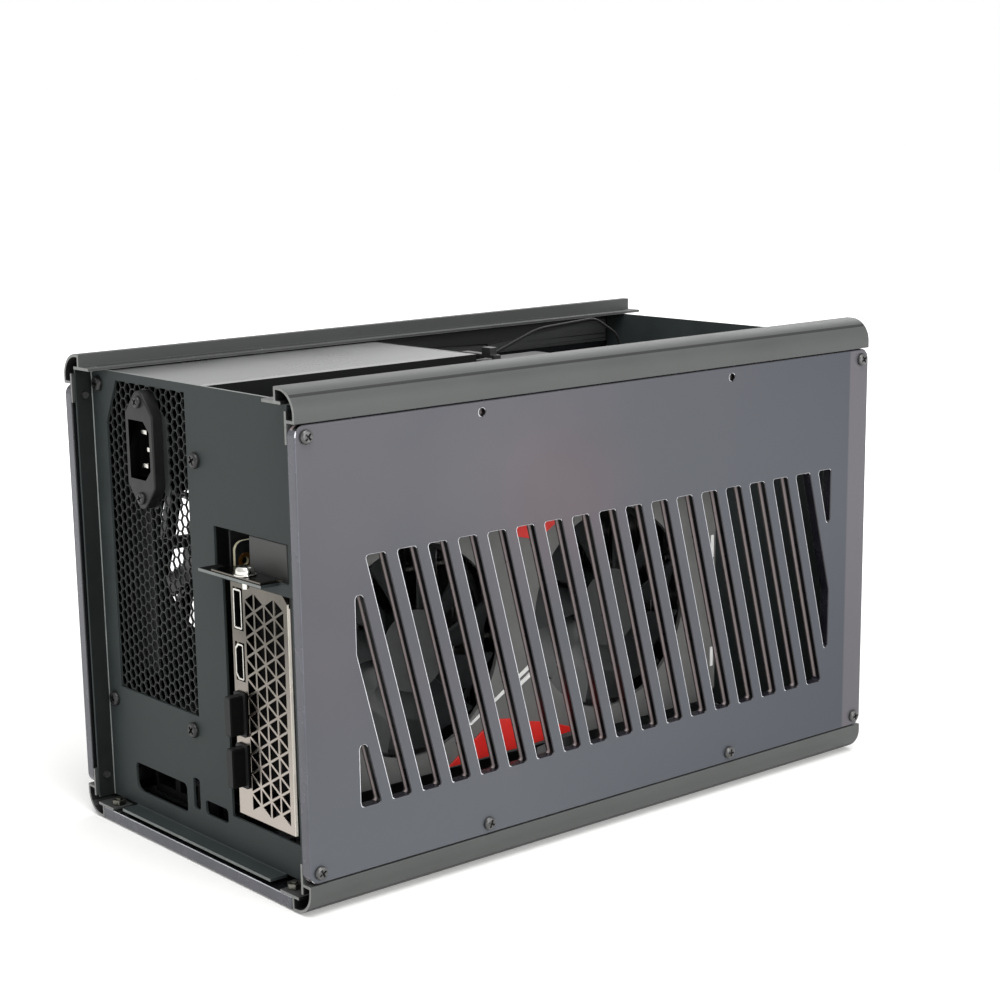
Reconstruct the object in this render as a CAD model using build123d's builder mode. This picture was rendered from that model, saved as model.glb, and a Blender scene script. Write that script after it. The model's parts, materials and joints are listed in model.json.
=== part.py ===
from build123d import *
from math import cos, pi, radians, sin, sqrt, tan
import os

os.makedirs("parts", exist_ok=True)

# Case, outside
case_length = 318.0
case_width = 170.0
case_height = 204.0
inlet_reach = 159.0
far_end = case_length - inlet_reach
case_middle = far_end - case_length / 2
half_width = case_width / 2

# Corner rails, one aluminium extrusion
rail_leg = 13.0
rail_arc = 10.0
rail_wall = 1.3
panel_seat = 5.2
shelf_reach = 8.0
return_reach = 4.5
shelf_inside = panel_seat + rail_wall

# Acrylic panels
panel_thickness = 5.0
panel_recess = panel_seat - panel_thickness
panel_gap = 0.3
panel_corner = 4.5
side_panel_height = case_height - 2 * rail_leg - 2 * panel_gap
bottom_panel_width = case_width - 2 * rail_leg - 2 * panel_gap

# Leaning slots in the side panels
slot_pitch = 15.0
slot_width = 9.0
slot_low = 39.3
slot_high = 138.0
slot_field = 268.7
slot_field_shift = 0.75
slot_lean = 25.1
slot_first = -158.2
slot_count = 20
slot_corner = 1.2
slot_tip = 1.8

# Panel screws, M3
screw_shank = 2.9
screw_hole = 3.2
screw_head = 5.6
screw_head_height = 1.9
screw_length = 9.6
screw_inset = 4.9
screw_mid = 70.0
side_screw_low = rail_leg + screw_inset
side_screw_high = case_height - rail_leg - screw_inset
screw_columns = [
    -inlet_reach + screw_inset,
    case_middle - screw_mid,
    case_middle + screw_mid,
    far_end - screw_inset,
]
bottom_screw_y = half_width - rail_leg - screw_inset
cover_hole = 2.5
nut_flats = 5.5
nut_height = 2.4
bore_depth = 2.2
bore_width = 6.0

# Folded steel end panels
plate = 1.2
plate_setback = 9.0
flange_setback = 1.3
plate_outer = inlet_reach - plate_setback
plate_inner = plate_outer - plate
plain_outer = far_end - plate_setback
plain_inner = plain_outer - plate
plain_tip = far_end - flange_setback
flange_face = half_width - shelf_inside
plate_low = shelf_inside + plate + 0.2
plate_high = case_height - shelf_inside - 0.2
bend_outer = 1.8
bend_inner = bend_outer - plate
foot_from = -bottom_screw_y + 11.6
foot_to = bottom_screw_y - 9.1

# Power supply, ATX, stood on edge
psu_length = 140.0
psu_depth = 86.0
psu_low = 47.0
psu_wall = 1.0
psu_from = -plate_inner
psu_to = psu_from + psu_length
psu_far = half_width - 7.0
psu_near = psu_far - psu_depth
psu_high = plate_high - 0.3
psu_tall = psu_high - psu_low
psu_fold = 5.0
psu_seam = 0.3
psu_mid_x = (psu_from + psu_to) / 2
psu_mid_y = (psu_near + psu_far) / 2
psu_mid_z = (psu_low + psu_high) / 2
psu_hole_column = psu_far - 6.0
psu_hole_row = psu_low + 6.0
psu_screw_spots = [
    (psu_hole_column, psu_hole_row),
    (psu_hole_column, psu_high - 6.0),
    (psu_hole_column - 64.0, psu_hole_row),
    (psu_hole_column - 74.0, psu_high - 30.0),
]
psu_screw_shank = 3.3
psu_screw_hole = 3.6

# Honeycomb vent in the supply's end
vent_near = psu_near + 13.5
vent_far = psu_far - 12.0
vent_low = psu_low + 13.0
vent_high = psu_high - 5.0
cell_pitch = 9.4
cell_across = 8.2
cell_column = cell_pitch * sqrt(3) / 2

# Mains inlet
inlet_y = psu_near + 42.4
inlet_z = psu_high - 29.8
inlet_rise = 5.0
inlet_half_width = 10.6
inlet_shoulder = 14.9
inlet_tip = 24.8
inlet_tip_half = 4.4
inlet_screw_span = 40.0
inlet_body_depth = 23.0
socket_width = 16.0
socket_height = 24.4
socket_depth = 17.0

# Supply fan
psu_fan_size = 120.0
psu_fan_depth = 25.0
psu_fan_bore = 114.0
psu_rotor_radius = 54.5
psu_fan_back = psu_far - psu_wall - 0.4
psu_fan_front = psu_fan_back - psu_fan_depth

# Window cut-outs in the inlet-end panel
window_near = psu_near + 12.3
window_far = psu_far - 11.2
window_low = psu_low + 12.3
window_high = psu_high - 3.4
window_cut_y = 9.0
window_cut_z = 18.3

# The card stands a set way off the middle of the room between near panel and supply
card_offset = 23.6
board_face = (psu_near - half_width) / 2 + card_offset
bracket_near = board_face - 38.1
bracket_far = board_face + 1.3
ledge_height = 126.5
ledge_near = bracket_near + 3.0
ledge_far = bracket_far + 7.6
ledge_tip = inlet_reach - 0.6
card_screw_x = -inlet_reach + 4.6
card_screw_y = bracket_near + 19.4
card_gate_near = bracket_near - 5.5
card_gate_far = bracket_far + 3.4
card_gate_low = 22.3
card_gate_high = 121.5
card_window_near = bracket_near - 3.6
card_window_far = bracket_far + 8.3
card_window_high = 142.2

# Graphics card
board_thickness = 1.6
board_back = board_face + board_thickness
board_mid = (board_face + board_back) / 2
board_from = -inlet_reach + 12.5
board_to = board_from + 223.5
board_low = 26.6
board_high = 136.5
bracket_sheet = 0.9
bracket_outer = plate_inner - 0.1
bracket_low = 14.2
bracket_tongue = 8.4
lattice_pitch = 8.0
lattice_web = 1.3
lattice_near = bracket_near + 2.4
lattice_columns = 4
lattice_rows = 11
lattice_low = 27.0
port_y = board_face - 3.7
port_top = 110.4
port_pitch = 21.6
port_heights = [port_top - step * port_pitch for step in range(4)]
port_talls = [16.2, 14.8, 16.2, 16.2]
port_width = 5.6
port_key = 1.8
port_play = 0.4
cap_grip = 4.8
cap_rise = 6.8
cap_base = 8.4
bracket_corner = 4.0
shroud_face = board_face - 34.6
shroud_skin = 2.0
shroud_from = board_from + 1.5
shroud_to = board_from + 235.5
shroud_low = 34.0
shroud_high = 138.5
shroud_open = board_face - 8.1
fan_z = 87.4
fan_left_x = board_from + 62.0
fan_right_x = fan_left_x + 108.7
fan_opening = 89.0
rotor_radius = 43.0
hub_radius = 17.0
rotor_front = shroud_face + 0.8
rotor_depth = 10.0
hub_skin = 1.4
blade_count = 11
blade_skin = 1.3
blade_sections = [
    (hub_radius - 0.6, 0.0, 11.5, 45.0),
    (hub_radius + 12.0, 2.6, 16.5, 31.0),
    (rotor_radius + 0.4, 8.0, 20.5, 24.0),
]
shaft_radius = 1.5
shaft_clearance = 0.05
fin_back = board_face - 4.1
fin_front = board_face - 21.1
fin_count = 26
fin_skin = 0.7

# Dock board under the card
dock_low = 12.0
dock_thickness = 1.6
dock_high = dock_low + dock_thickness
dock_from = board_from + 3.5
dock_to = dock_from + 233.0
dock_near = board_face - 21.1
dock_far = half_width - 25.0
dock_hole_inset = 6.0
slot_body_from = board_from + 53.5
slot_body_to = slot_body_from + 90.0
slot_body_width = 7.5
slot_body_height = 11.2
slot_body_high = dock_high + slot_body_height
finger_low = 17.2
groove_low = 16.6
standoff_radius = 3.0
standoff_spots = [(dock_from + x, dock_near + dock_hole_inset) for x in (7, 113, 227)]
standoff_spots = standoff_spots + [(dock_from + x, dock_far - dock_hole_inset) for x in (33, 113, 227)]

# Slot latch
latch_pivot_x = slot_body_to + 8.0
latch_pivot_z = 17.2
latch_pin = 1.0
latch_fit = 0.05
latch_width = 4.2
latch_side_gap = 0.35

# Leads
ribbon_width = 20.0
ribbon_thick = 3.0
ribbon_y = psu_mid_y - 15.0
ribbon_z = psu_high - 9.0
ribbon_drop_x = psu_to + 80.8
card_lead_radius = 2.5
card_lead_z = psu_high - 14.0
card_lead_y = psu_near + 12.0
card_plug_x = board_from + 204.5
card_plug_y = board_face - 10.1
card_plug_high = 149.0
plug_room_low = 119.0
plug_room_length = 26.0
plug_room_width = 14.0
thin_lead_radius = 0.9
dock_plug_high = 34.0

# Corner rails: rounded skin, two lips and two shelves with returns
with BuildPart() as rail_top_front:
    with BuildSketch(Plane.YZ.offset(-inlet_reach)):
        arc_y = -half_width + rail_arc
        arc_z = case_height - rail_arc
        lip_y = -half_width + rail_leg
        lip_z = case_height - rail_leg
        with BuildLine():
            Line((-half_width, lip_z), (-half_width, arc_z))
            CenterArc((arc_y, arc_z), rail_arc, 90, 90)
            Line((arc_y, case_height), (lip_y, case_height))
            Line((lip_y, case_height), (lip_y, case_height - rail_wall))
            Line((lip_y, case_height - rail_wall), (arc_y, case_height - rail_wall))
            CenterArc((arc_y, arc_z), rail_arc - rail_wall, 90, 90)
            Line((-half_width + rail_wall, arc_z), (-half_width + rail_wall, lip_z))
            Line((-half_width + rail_wall, lip_z), (-half_width, lip_z))
        make_face()
        with Locations((lip_y, case_height)):
            Rectangle(rail_wall, shelf_inside, align=(Align.MAX, Align.MAX))
        with Locations((lip_y - return_reach, case_height - panel_seat)):
            Rectangle(return_reach + shelf_reach, rail_wall, align=(Align.MIN, Align.MAX))
        with Locations((-half_width, lip_z)):
            Rectangle(shelf_inside, rail_wall, align=(Align.MIN, Align.MIN))
        with Locations((-half_width + panel_seat, lip_z + return_reach)):
            Rectangle(rail_wall, return_reach + shelf_reach, align=(Align.MIN, Align.MAX))
    extrude(amount=case_length)
    with BuildSketch(Plane.XZ.offset(half_width - shelf_inside - 1)):
        for hole_x in screw_columns:
            with Locations((hole_x, side_screw_high)):
                Circle(screw_hole / 2)
    extrude(amount=rail_wall + 2, mode=Mode.SUBTRACT)
    with BuildSketch(Plane.XY.offset(case_height - shelf_inside - 1)):
        for hole_x in screw_columns:
            with Locations((hole_x, -bottom_screw_y)):
                Circle(cover_hole / 2)
    extrude(amount=rail_wall + 2, mode=Mode.SUBTRACT)
rail_top_front.part.label = "rail_top_front"
export_step(rail_top_front.part, "parts/rail_top_front.step")

with BuildPart() as rail_top_back:
    add(rail_top_front.part)
    mirror(about=Plane.XZ, mode=Mode.REPLACE)
rail_top_back.part.label = "rail_top_back"
export_step(rail_top_back.part, "parts/rail_top_back.step")

with BuildPart() as rail_bottom_front:
    add(rail_top_front.part)
    mirror(about=Plane.XY.offset(case_height / 2), mode=Mode.REPLACE)
    with BuildSketch(Plane.XY.offset(panel_seat - 1)):
        for hole_x in screw_columns:
            with Locations((hole_x, -bottom_screw_y)):
                Circle(screw_hole / 2)
    extrude(amount=rail_wall + 2, mode=Mode.SUBTRACT)
rail_bottom_front.part.label = "rail_bottom_front"
export_step(rail_bottom_front.part, "parts/rail_bottom_front.step")

with BuildPart() as rail_bottom_back:
    add(rail_bottom_front.part)
    mirror(about=Plane.XZ, mode=Mode.REPLACE)
rail_bottom_back.part.label = "rail_bottom_back"
export_step(rail_bottom_back.part, "parts/rail_bottom_back.step")

# Side panels: rounded acrylic sheets with a field of leaning slots
with BuildPart() as side_panel_front:
    with BuildSketch(Plane.XZ.offset(half_width - panel_recess)):
        with Locations((case_middle, case_height / 2)):
            RectangleRounded(case_length, side_panel_height, panel_corner)
        for hole_x in screw_columns:
            for hole_z in (side_screw_low, side_screw_high):
                with Locations((hole_x, hole_z)):
                    Circle(screw_hole / 2, mode=Mode.SUBTRACT)
    extrude(amount=-panel_thickness)
    with BuildSketch(Plane.XZ.offset(half_width - panel_recess)) as slots:
        for slot in range(slot_count):
            top = case_middle + slot_first + slot * slot_pitch
            foot = top + slot_lean
            Polygon(
                (top, slot_high),
                (top + slot_width, slot_high),
                (foot + slot_width, slot_low),
                (foot, slot_low),
                align=None,
            )
        with Locations((case_middle + slot_field_shift, (slot_low + slot_high) / 2)):
            Rectangle(slot_field, slot_high - slot_low, mode=Mode.INTERSECT)
        tips = slots.vertices().group_by(Axis.X)[0].sort_by(Axis.Y)[1::2]
        fillet(slots.vertices() - tips, slot_corner)
        tips = slots.vertices().group_by(Axis.X)[0].sort_by(Axis.Y)[1::2]
        fillet(tips, slot_tip)
    extrude(amount=-panel_thickness, mode=Mode.SUBTRACT)
side_panel_front.part.label = "side_panel_front"
export_step(side_panel_front.part, "parts/side_panel_front.step")

with BuildPart() as side_panel_back:
    add(side_panel_front.part.rotate(Axis((case_middle, 0, 0), (0, 0, 1)), 180))
side_panel_back.part.label = "side_panel_back"
export_step(side_panel_back.part, "parts/side_panel_back.step")

# Bottom panel with counterbored screw holes
bottom_screw_spots = [(x, y) for x in screw_columns for y in (-bottom_screw_y, bottom_screw_y)]
with BuildPart() as bottom_panel:
    with BuildSketch(Plane.XY.offset(panel_recess)):
        with Locations((case_middle, 0)):
            Rectangle(case_length, bottom_panel_width)
        with Locations(*bottom_screw_spots):
            Circle(screw_hole / 2, mode=Mode.SUBTRACT)
    extrude(amount=panel_thickness)
    with BuildSketch(Plane.XY.offset(panel_recess)):
        with Locations(*bottom_screw_spots):
            Circle(bore_width / 2)
    extrude(amount=bore_depth, mode=Mode.SUBTRACT)
bottom_panel.part.label = "bottom_panel"
export_step(bottom_panel.part, "parts/bottom_panel.step")

# End panels: a plate with side flanges and a foot flange folded outward
with BuildPart() as plain_end_panel:
    with BuildSketch(Plane.XY.offset(plate_low)) as fold:
        with BuildLine():
            Polyline(
                (plain_tip, -flange_face),
                (plain_inner, -flange_face),
                (plain_inner, flange_face),
                (plain_tip, flange_face),
                (plain_tip, flange_face - plate),
                (plain_outer, flange_face - plate),
                (plain_outer, -flange_face + plate),
                (plain_tip, -flange_face + plate),
                close=True,
            )
        make_face()
        fillet(fold.vertices().group_by(Axis.X)[1], bend_inner)
        fillet(fold.vertices().group_by(Axis.X)[0], bend_outer)
    extrude(amount=plate_high - plate_low)
    with BuildSketch(Plane.XZ.offset(-foot_to)) as foot_fold:
        with BuildLine():
            Polyline(
                (plain_tip, shelf_inside),
                (plain_inner, shelf_inside),
                (plain_inner, plate_low + 3),
                (plain_outer, plate_low + 3),
                (plain_outer, shelf_inside + plate),
                (plain_tip, shelf_inside + plate),
                close=True,
            )
        make_face()
        fillet(foot_fold.vertices().sort_by_distance((plain_outer, shelf_inside + plate, 0))[0], bend_inner)
        fillet(foot_fold.vertices().sort_by_distance((plain_inner, shelf_inside, 0))[0], bend_outer)
    extrude(amount=foot_to - foot_from)
    with BuildSketch(Plane.XZ.offset(-half_width)):
        for hole_z in (side_screw_low, side_screw_high):
            with Locations((screw_columns[3], hole_z)):
                Circle(screw_hole / 2)
    extrude(amount=case_width, mode=Mode.SUBTRACT)
plain_end_panel.part.label = "plain_end_panel"
export_step(plain_end_panel.part, "parts/plain_end_panel.step")

with BuildPart() as io_end_panel:
    add(plain_end_panel.part)
    mirror(about=Plane.YZ.offset(case_middle), mode=Mode.REPLACE)
    with BuildSketch(Plane.YZ.offset(-plate_outer - 1)):
        with BuildLine():
            Polyline(
                (window_near, window_low),
                (window_far, window_low),
                (window_far, window_high - window_cut_z),
                (window_far - window_cut_y, window_high),
                (window_near, window_high),
                close=True,
            )
        make_face()
        with BuildLine():
            Polyline(
                (16.4, 14.7), (55.6, 14.7), (57.8, 16.9), (57.8, 27.4), (16.4, 27.4), close=True,
            )
        make_face()
        with Locations((8.7, 25.0)):
            Rectangle(5.0, 13.6)
        with Locations((-6.3, 21.0)):
            Rectangle(17.0, 6.2)
        with Locations((card_gate_near, card_gate_low)):
            Rectangle(card_gate_far - card_gate_near, card_gate_high - card_gate_low,
                      align=(Align.MIN, Align.MIN))
        with Locations((card_window_near, ledge_height)):
            Rectangle(card_window_far - card_window_near, card_window_high - ledge_height,
                      align=(Align.MIN, Align.MIN))
        with Locations(*psu_screw_spots):
            Circle(psu_screw_hole / 2)
    extrude(amount=plate + 2, mode=Mode.SUBTRACT)
    with BuildSketch(Plane.XY.offset(ledge_height - plate)):
        with Locations((-ledge_tip, ledge_near)):
            Rectangle(ledge_tip - plate_inner, ledge_far - ledge_near, align=(Align.MIN, Align.MIN))
        with Locations((card_screw_x, card_screw_y)):
            Circle(screw_hole / 2, mode=Mode.SUBTRACT)
    extrude(amount=plate)
io_end_panel.part.label = "io_end_panel"
export_step(io_end_panel.part, "parts/io_end_panel.step")

# Panel screws, six to a side
side_screw_spots = [(x, side_screw_low) for x in screw_columns]
side_screw_spots = side_screw_spots + [(x, side_screw_high) for x in (screw_columns[0], screw_columns[3])]
head_plane = half_width - panel_recess
with BuildPart() as side_screws_front:
    with BuildSketch(Plane.XZ.offset(head_plane)):
        with Locations(*side_screw_spots):
            Circle(screw_head / 2)
    extrude(amount=screw_head_height)
    chamfer(side_screws_front.edges().group_by(Axis.Y)[0], 0.6)
    with BuildSketch(Plane.XZ.offset(head_plane)):
        with Locations(*side_screw_spots):
            Circle(screw_shank / 2)
    extrude(amount=-screw_length)
side_screws_front.part.label = "side_screws_front"
export_step(side_screws_front.part, "parts/side_screws_front.step")

with BuildPart() as side_screws_back:
    add(side_screws_front.part.rotate(Axis((case_middle, 0, 0), (0, 0, 1)), 180))
side_screws_back.part.label = "side_screws_back"
export_step(side_screws_back.part, "parts/side_screws_back.step")

# Bottom panel screws and their nuts
with BuildPart() as bottom_screws:
    with BuildSketch(Plane.XY.offset(panel_recess + 0.2)):
        with Locations(*bottom_screw_spots):
            Circle(screw_head / 2)
    extrude(amount=bore_depth - 0.2)
    with BuildSketch(Plane.XY.offset(panel_recess + bore_depth)):
        with Locations(*bottom_screw_spots):
            Circle(screw_shank / 2)
    extrude(amount=shelf_inside + nut_height + 0.6 - panel_recess - bore_depth)
bottom_screws.part.label = "bottom_screws"
export_step(bottom_screws.part, "parts/bottom_screws.step")

with BuildPart() as bottom_nuts:
    with BuildSketch(Plane.XY.offset(shelf_inside)):
        with Locations(*bottom_screw_spots):
            RegularPolygon(nut_flats / 2, 6, major_radius=False)
            Circle(screw_hole / 2, mode=Mode.SUBTRACT)
    extrude(amount=nut_height)
bottom_nuts.part.label = "bottom_nuts"
export_step(bottom_nuts.part, "parts/bottom_nuts.step")

# Power supply: base half with the honeycomb end, near face and lead end
with BuildPart() as psu_case:
    with BuildSketch(Plane.XY.offset(psu_low)):
        with Locations((psu_mid_x, psu_mid_y)):
            Rectangle(psu_length, psu_depth)
        with Locations((psu_mid_x, psu_near + psu_wall)):
            Rectangle(psu_length - 2 * psu_wall, psu_depth, align=(Align.CENTER, Align.MIN),
                      mode=Mode.SUBTRACT)
    extrude(amount=psu_tall)
    with BuildSketch(Plane.XY.offset(psu_high - psu_wall)):
        with Locations((psu_mid_x, psu_near)):
            Rectangle(psu_length, psu_fold, align=(Align.CENTER, Align.MIN))
    extrude(amount=psu_wall)
    with BuildSketch(Plane.XY.offset(psu_low)):
        with Locations((psu_mid_x, psu_near)):
            Rectangle(psu_length, psu_fold, align=(Align.CENTER, Align.MIN))
    extrude(amount=psu_wall)
    with BuildSketch(Plane.YZ.offset(psu_from - 1)):
        column = 0
        while vent_near + (column + 0.5) * cell_column + cell_across / 2 < vent_far:
            cell_y = vent_near + (column + 0.5) * cell_column
            row = 0
            while vent_low + (row + 1) * cell_pitch + (column % 2) * cell_pitch / 2 < vent_high:
                cell_z = vent_low + (row + 0.5) * cell_pitch + (column % 2) * cell_pitch / 2
                away_y = abs(cell_y - inlet_y) - inlet_half_width
                away_z = abs(cell_z - inlet_z) - inlet_tip
                if away_y > cell_across / 2 + 0.3 or away_z > cell_across / 2:
                    with Locations((cell_y, cell_z)):
                        RegularPolygon(cell_across / 2, 6, major_radius=False)
                row = row + 1
            column = column + 1
        with Locations((inlet_y, inlet_z)):
            Rectangle(socket_width + 5, 2 * inlet_shoulder - 3)
        with Locations((inlet_y, inlet_z - inlet_screw_span / 2), (inlet_y, inlet_z + inlet_screw_span / 2)):
            Circle(screw_hole / 2)
        with Locations(*psu_screw_spots):
            Circle(psu_screw_hole / 2)
    extrude(amount=psu_wall + 2, mode=Mode.SUBTRACT)
    with BuildSketch(Plane.YZ.offset(psu_to - psu_wall - 1)):
        with Locations((ribbon_y, ribbon_z)):
            Rectangle(ribbon_width + 6, ribbon_thick + 10)
        with Locations((card_lead_y, card_lead_z)):
            Circle(card_lead_radius + 2)
    extrude(amount=psu_wall + 2, mode=Mode.SUBTRACT)
psu_case.part.label = "psu_case"
export_step(psu_case.part, "parts/psu_case.step")

# Power supply: cover half with the fan opening
cover_from = psu_from + psu_wall + 0.1
cover_to = psu_to - psu_wall - 0.1
with BuildPart() as psu_cover:
    with BuildSketch(Plane.YZ.offset(cover_from)):
        with Locations((psu_far, psu_mid_z)):
            Rectangle(psu_depth - psu_fold - psu_seam, psu_tall, align=(Align.MAX, Align.CENTER))
        with Locations((psu_far - psu_wall, psu_mid_z)):
            Rectangle(psu_depth, psu_tall - 2 * psu_wall, align=(Align.MAX, Align.CENTER), mode=Mode.SUBTRACT)
    extrude(amount=cover_to - cover_from)
    with BuildSketch(Plane.XZ.offset(-psu_far - 1)):
        with Locations((psu_mid_x, psu_mid_z)):
            Circle(psu_fan_bore / 2)
    extrude(amount=psu_wall + 2, mode=Mode.SUBTRACT)
psu_cover.part.label = "psu_cover"
export_step(psu_cover.part, "parts/psu_cover.step")

with BuildPart() as psu_screws:
    with BuildSketch(Plane.YZ.offset(-plate_outer)):
        with Locations(*psu_screw_spots):
            Circle(3.3)
    extrude(amount=-2.0)
    chamfer(psu_screws.edges().group_by(Axis.X)[0], 0.7)
    with BuildSketch(Plane.YZ.offset(-plate_outer)):
        with Locations(*psu_screw_spots):
            Circle(psu_screw_shank / 2)
    extrude(amount=plate + psu_wall + 3)
psu_screws.part.label = "psu_screws"
export_step(psu_screws.part, "parts/psu_screws.step")

# Mains inlet: raised block with screw ears and an open socket
with BuildPart() as mains_inlet:
    with BuildSketch(Plane.YZ.offset(psu_from - inlet_rise)) as inlet_face:
        with BuildLine():
            Polyline(
                (inlet_y - inlet_half_width, inlet_z - inlet_shoulder),
                (inlet_y - inlet_tip_half, inlet_z - inlet_tip),
                (inlet_y + inlet_tip_half, inlet_z - inlet_tip),
                (inlet_y + inlet_half_width, inlet_z - inlet_shoulder),
                (inlet_y + inlet_half_width, inlet_z + inlet_shoulder),
                (inlet_y + inlet_tip_half, inlet_z + inlet_tip),
                (inlet_y - inlet_tip_half, inlet_z + inlet_tip),
                (inlet_y - inlet_half_width, inlet_z + inlet_shoulder),
                close=True,
            )
        make_face()
        shoulder_rows = inlet_face.vertices().group_by(Axis.Y)
        fillet(shoulder_rows[1] + shoulder_rows[-2], 1.5)
        tip_rows = inlet_face.vertices().group_by(Axis.Y)
        fillet(tip_rows[0] + tip_rows[-1], 3.0)
    extrude(amount=inlet_rise)
    with BuildSketch(Plane.YZ.offset(psu_from)):
        with Locations((inlet_y, inlet_z)):
            Rectangle(socket_width + 4, 2 * inlet_shoulder - 4)
    extrude(amount=inlet_body_depth - inlet_rise)
    with BuildSketch(Plane.YZ.offset(psu_from - inlet_rise)) as socket_face:
        with Locations((inlet_y, inlet_z)):
            Rectangle(socket_width, socket_height)
        chamfer(socket_face.vertices().group_by(Axis.X)[0], 4.2)
    extrude(amount=socket_depth, mode=Mode.SUBTRACT)
    with BuildSketch(Plane.YZ.offset(psu_from - inlet_rise)):
        with Locations((inlet_y, inlet_z - inlet_screw_span / 2), (inlet_y, inlet_z + inlet_screw_span / 2)):
            Circle(screw_hole / 2)
    extrude(amount=inlet_rise, mode=Mode.SUBTRACT)
mains_inlet.part.label = "mains_inlet"
export_step(mains_inlet.part, "parts/mains_inlet.step")

with BuildPart() as inlet_pins:
    with BuildSketch(Plane.YZ.offset(psu_from - inlet_rise + socket_depth)):
        with Locations((inlet_y + 2, inlet_z - 7), (inlet_y + 2, inlet_z + 7), (inlet_y - 2, inlet_z)):
            Rectangle(4.0, 2.0)
    extrude(amount=-13.5)
inlet_pins.part.label = "inlet_pins"
export_step(inlet_pins.part, "parts/inlet_pins.step")

with BuildPart() as inlet_screws:
    with BuildSketch(Plane.YZ.offset(psu_from - inlet_rise)):
        with Locations((inlet_y, inlet_z - inlet_screw_span / 2), (inlet_y, inlet_z + inlet_screw_span / 2)):
            Circle(2.6)
    extrude(amount=-1.4)
    with BuildSketch(Plane.YZ.offset(psu_from - inlet_rise)):
        with Locations((inlet_y, inlet_z - inlet_screw_span / 2), (inlet_y, inlet_z + inlet_screw_span / 2)):
            Circle(screw_shank / 2)
    extrude(amount=inlet_rise + psu_wall + 2)
inlet_screws.part.label = "inlet_screws"
export_step(inlet_screws.part, "parts/inlet_screws.step")

# Supply fan: square frame with a strut cross and a shaft, rotor, wire guard
with BuildPart() as psu_fan_frame:
    with BuildSketch(Plane.XZ.offset(-psu_fan_back)):
        with Locations((psu_mid_x, psu_mid_z)):
            RectangleRounded(psu_fan_size, psu_fan_size, 6)
            Circle(psu_fan_bore / 2, mode=Mode.SUBTRACT)
    extrude(amount=psu_fan_depth)
    with BuildSketch(Plane.XZ.offset(-psu_fan_front)):
        with Locations((psu_mid_x, psu_mid_z)):
            Circle(19)
            Rectangle(psu_fan_bore + 2, 5)
            Rectangle(5, psu_fan_bore + 2)
    extrude(amount=-3.0)
    with BuildSketch(Plane.XZ.offset(-psu_fan_front - 3)):
        with Locations((psu_mid_x, psu_mid_z)):
            Circle(shaft_radius)
    extrude(amount=-14.0)
psu_fan_frame.part.label = "psu_fan_frame"
export_step(psu_fan_frame.part, "parts/psu_fan_frame.step")

psu_rotor_from = psu_fan_front + 4.0
psu_rotor_depth = 18.0
with BuildPart() as psu_fan_rotor:
    with BuildSketch(Plane.XZ.offset(-psu_rotor_from - psu_rotor_depth)):
        with Locations((psu_mid_x, psu_mid_z)):
            Circle(20)
    extrude(amount=psu_rotor_depth)
    for blade in range(7):
        with BuildSketch(Plane((psu_mid_x, psu_mid_y, psu_mid_z),
                               x_dir=(cos(radians(blade * 360 / 7)), 0, sin(radians(blade * 360 / 7))),
                               z_dir=(0, -1, 0)).offset(psu_mid_y - psu_rotor_from - psu_rotor_depth + 1)):
            with Locations(Location((37, 0), 0)):
                Rectangle(2 * (psu_rotor_radius - 37), 2.0)
        extrude(amount=psu_rotor_depth - 2, taper=0)
    with BuildSketch(Plane.XZ.offset(-psu_rotor_from - psu_rotor_depth + 3)):
        with Locations((psu_mid_x, psu_mid_z)):
            Circle(shaft_radius + shaft_clearance)
    extrude(amount=psu_rotor_depth - 3, mode=Mode.SUBTRACT)
psu_fan_rotor.part.label = "psu_fan_rotor"
export_step(psu_fan_rotor.part, "parts/psu_fan_rotor.step")

with BuildPart() as psu_fan_guard:
    with BuildSketch(Plane.XZ.offset(-psu_far - 1.2)):
        with Locations((psu_mid_x, psu_mid_z)):
            for ring in (16, 31, 46, 58.5):
                Circle(ring)
                Circle(ring - 1.5, mode=Mode.SUBTRACT)
            Rectangle(122, 1.8, rotation=45)
            Rectangle(122, 1.8, rotation=-45)
    extrude(amount=1.15)
psu_fan_guard.part.label = "psu_fan_guard"
export_step(psu_fan_guard.part, "parts/psu_fan_guard.step")

# Supply electronics
psu_board_face = psu_near + psu_wall + 4.6
with BuildPart() as psu_board:
    with BuildSketch(Plane.XZ.offset(-psu_board_face)):
        with Locations((psu_mid_x, psu_mid_z)):
            Rectangle(psu_length - 28, psu_tall - 12)
    extrude(amount=1.6)
    with BuildSketch(Plane.XZ.offset(-psu_near - psu_wall - 3)):
        for post_x in (-50, 50):
            for post_z in (12 - psu_tall / 2, psu_tall / 2 - 12):
                with Locations((psu_mid_x + post_x, psu_mid_z + post_z)):
                    Circle(2.5)
    extrude(amount=3)
psu_board.part.label = "psu_board"
export_step(psu_board.part, "parts/psu_board.step")

with BuildPart() as psu_transformer:
    with BuildSketch(Plane.XZ.offset(-psu_board_face)):
        with Locations((psu_mid_x + 5, psu_mid_z - 2)):
            Rectangle(38, 34)
    extrude(amount=-30)
    with BuildSketch(Plane.XZ.offset(-psu_board_face - 5)):
        with Locations((psu_mid_x + 5, psu_mid_z - 2)):
            Rectangle(30, 44)
    extrude(amount=-20)
psu_transformer.part.label = "psu_transformer"
export_step(psu_transformer.part, "parts/psu_transformer.step")

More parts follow.
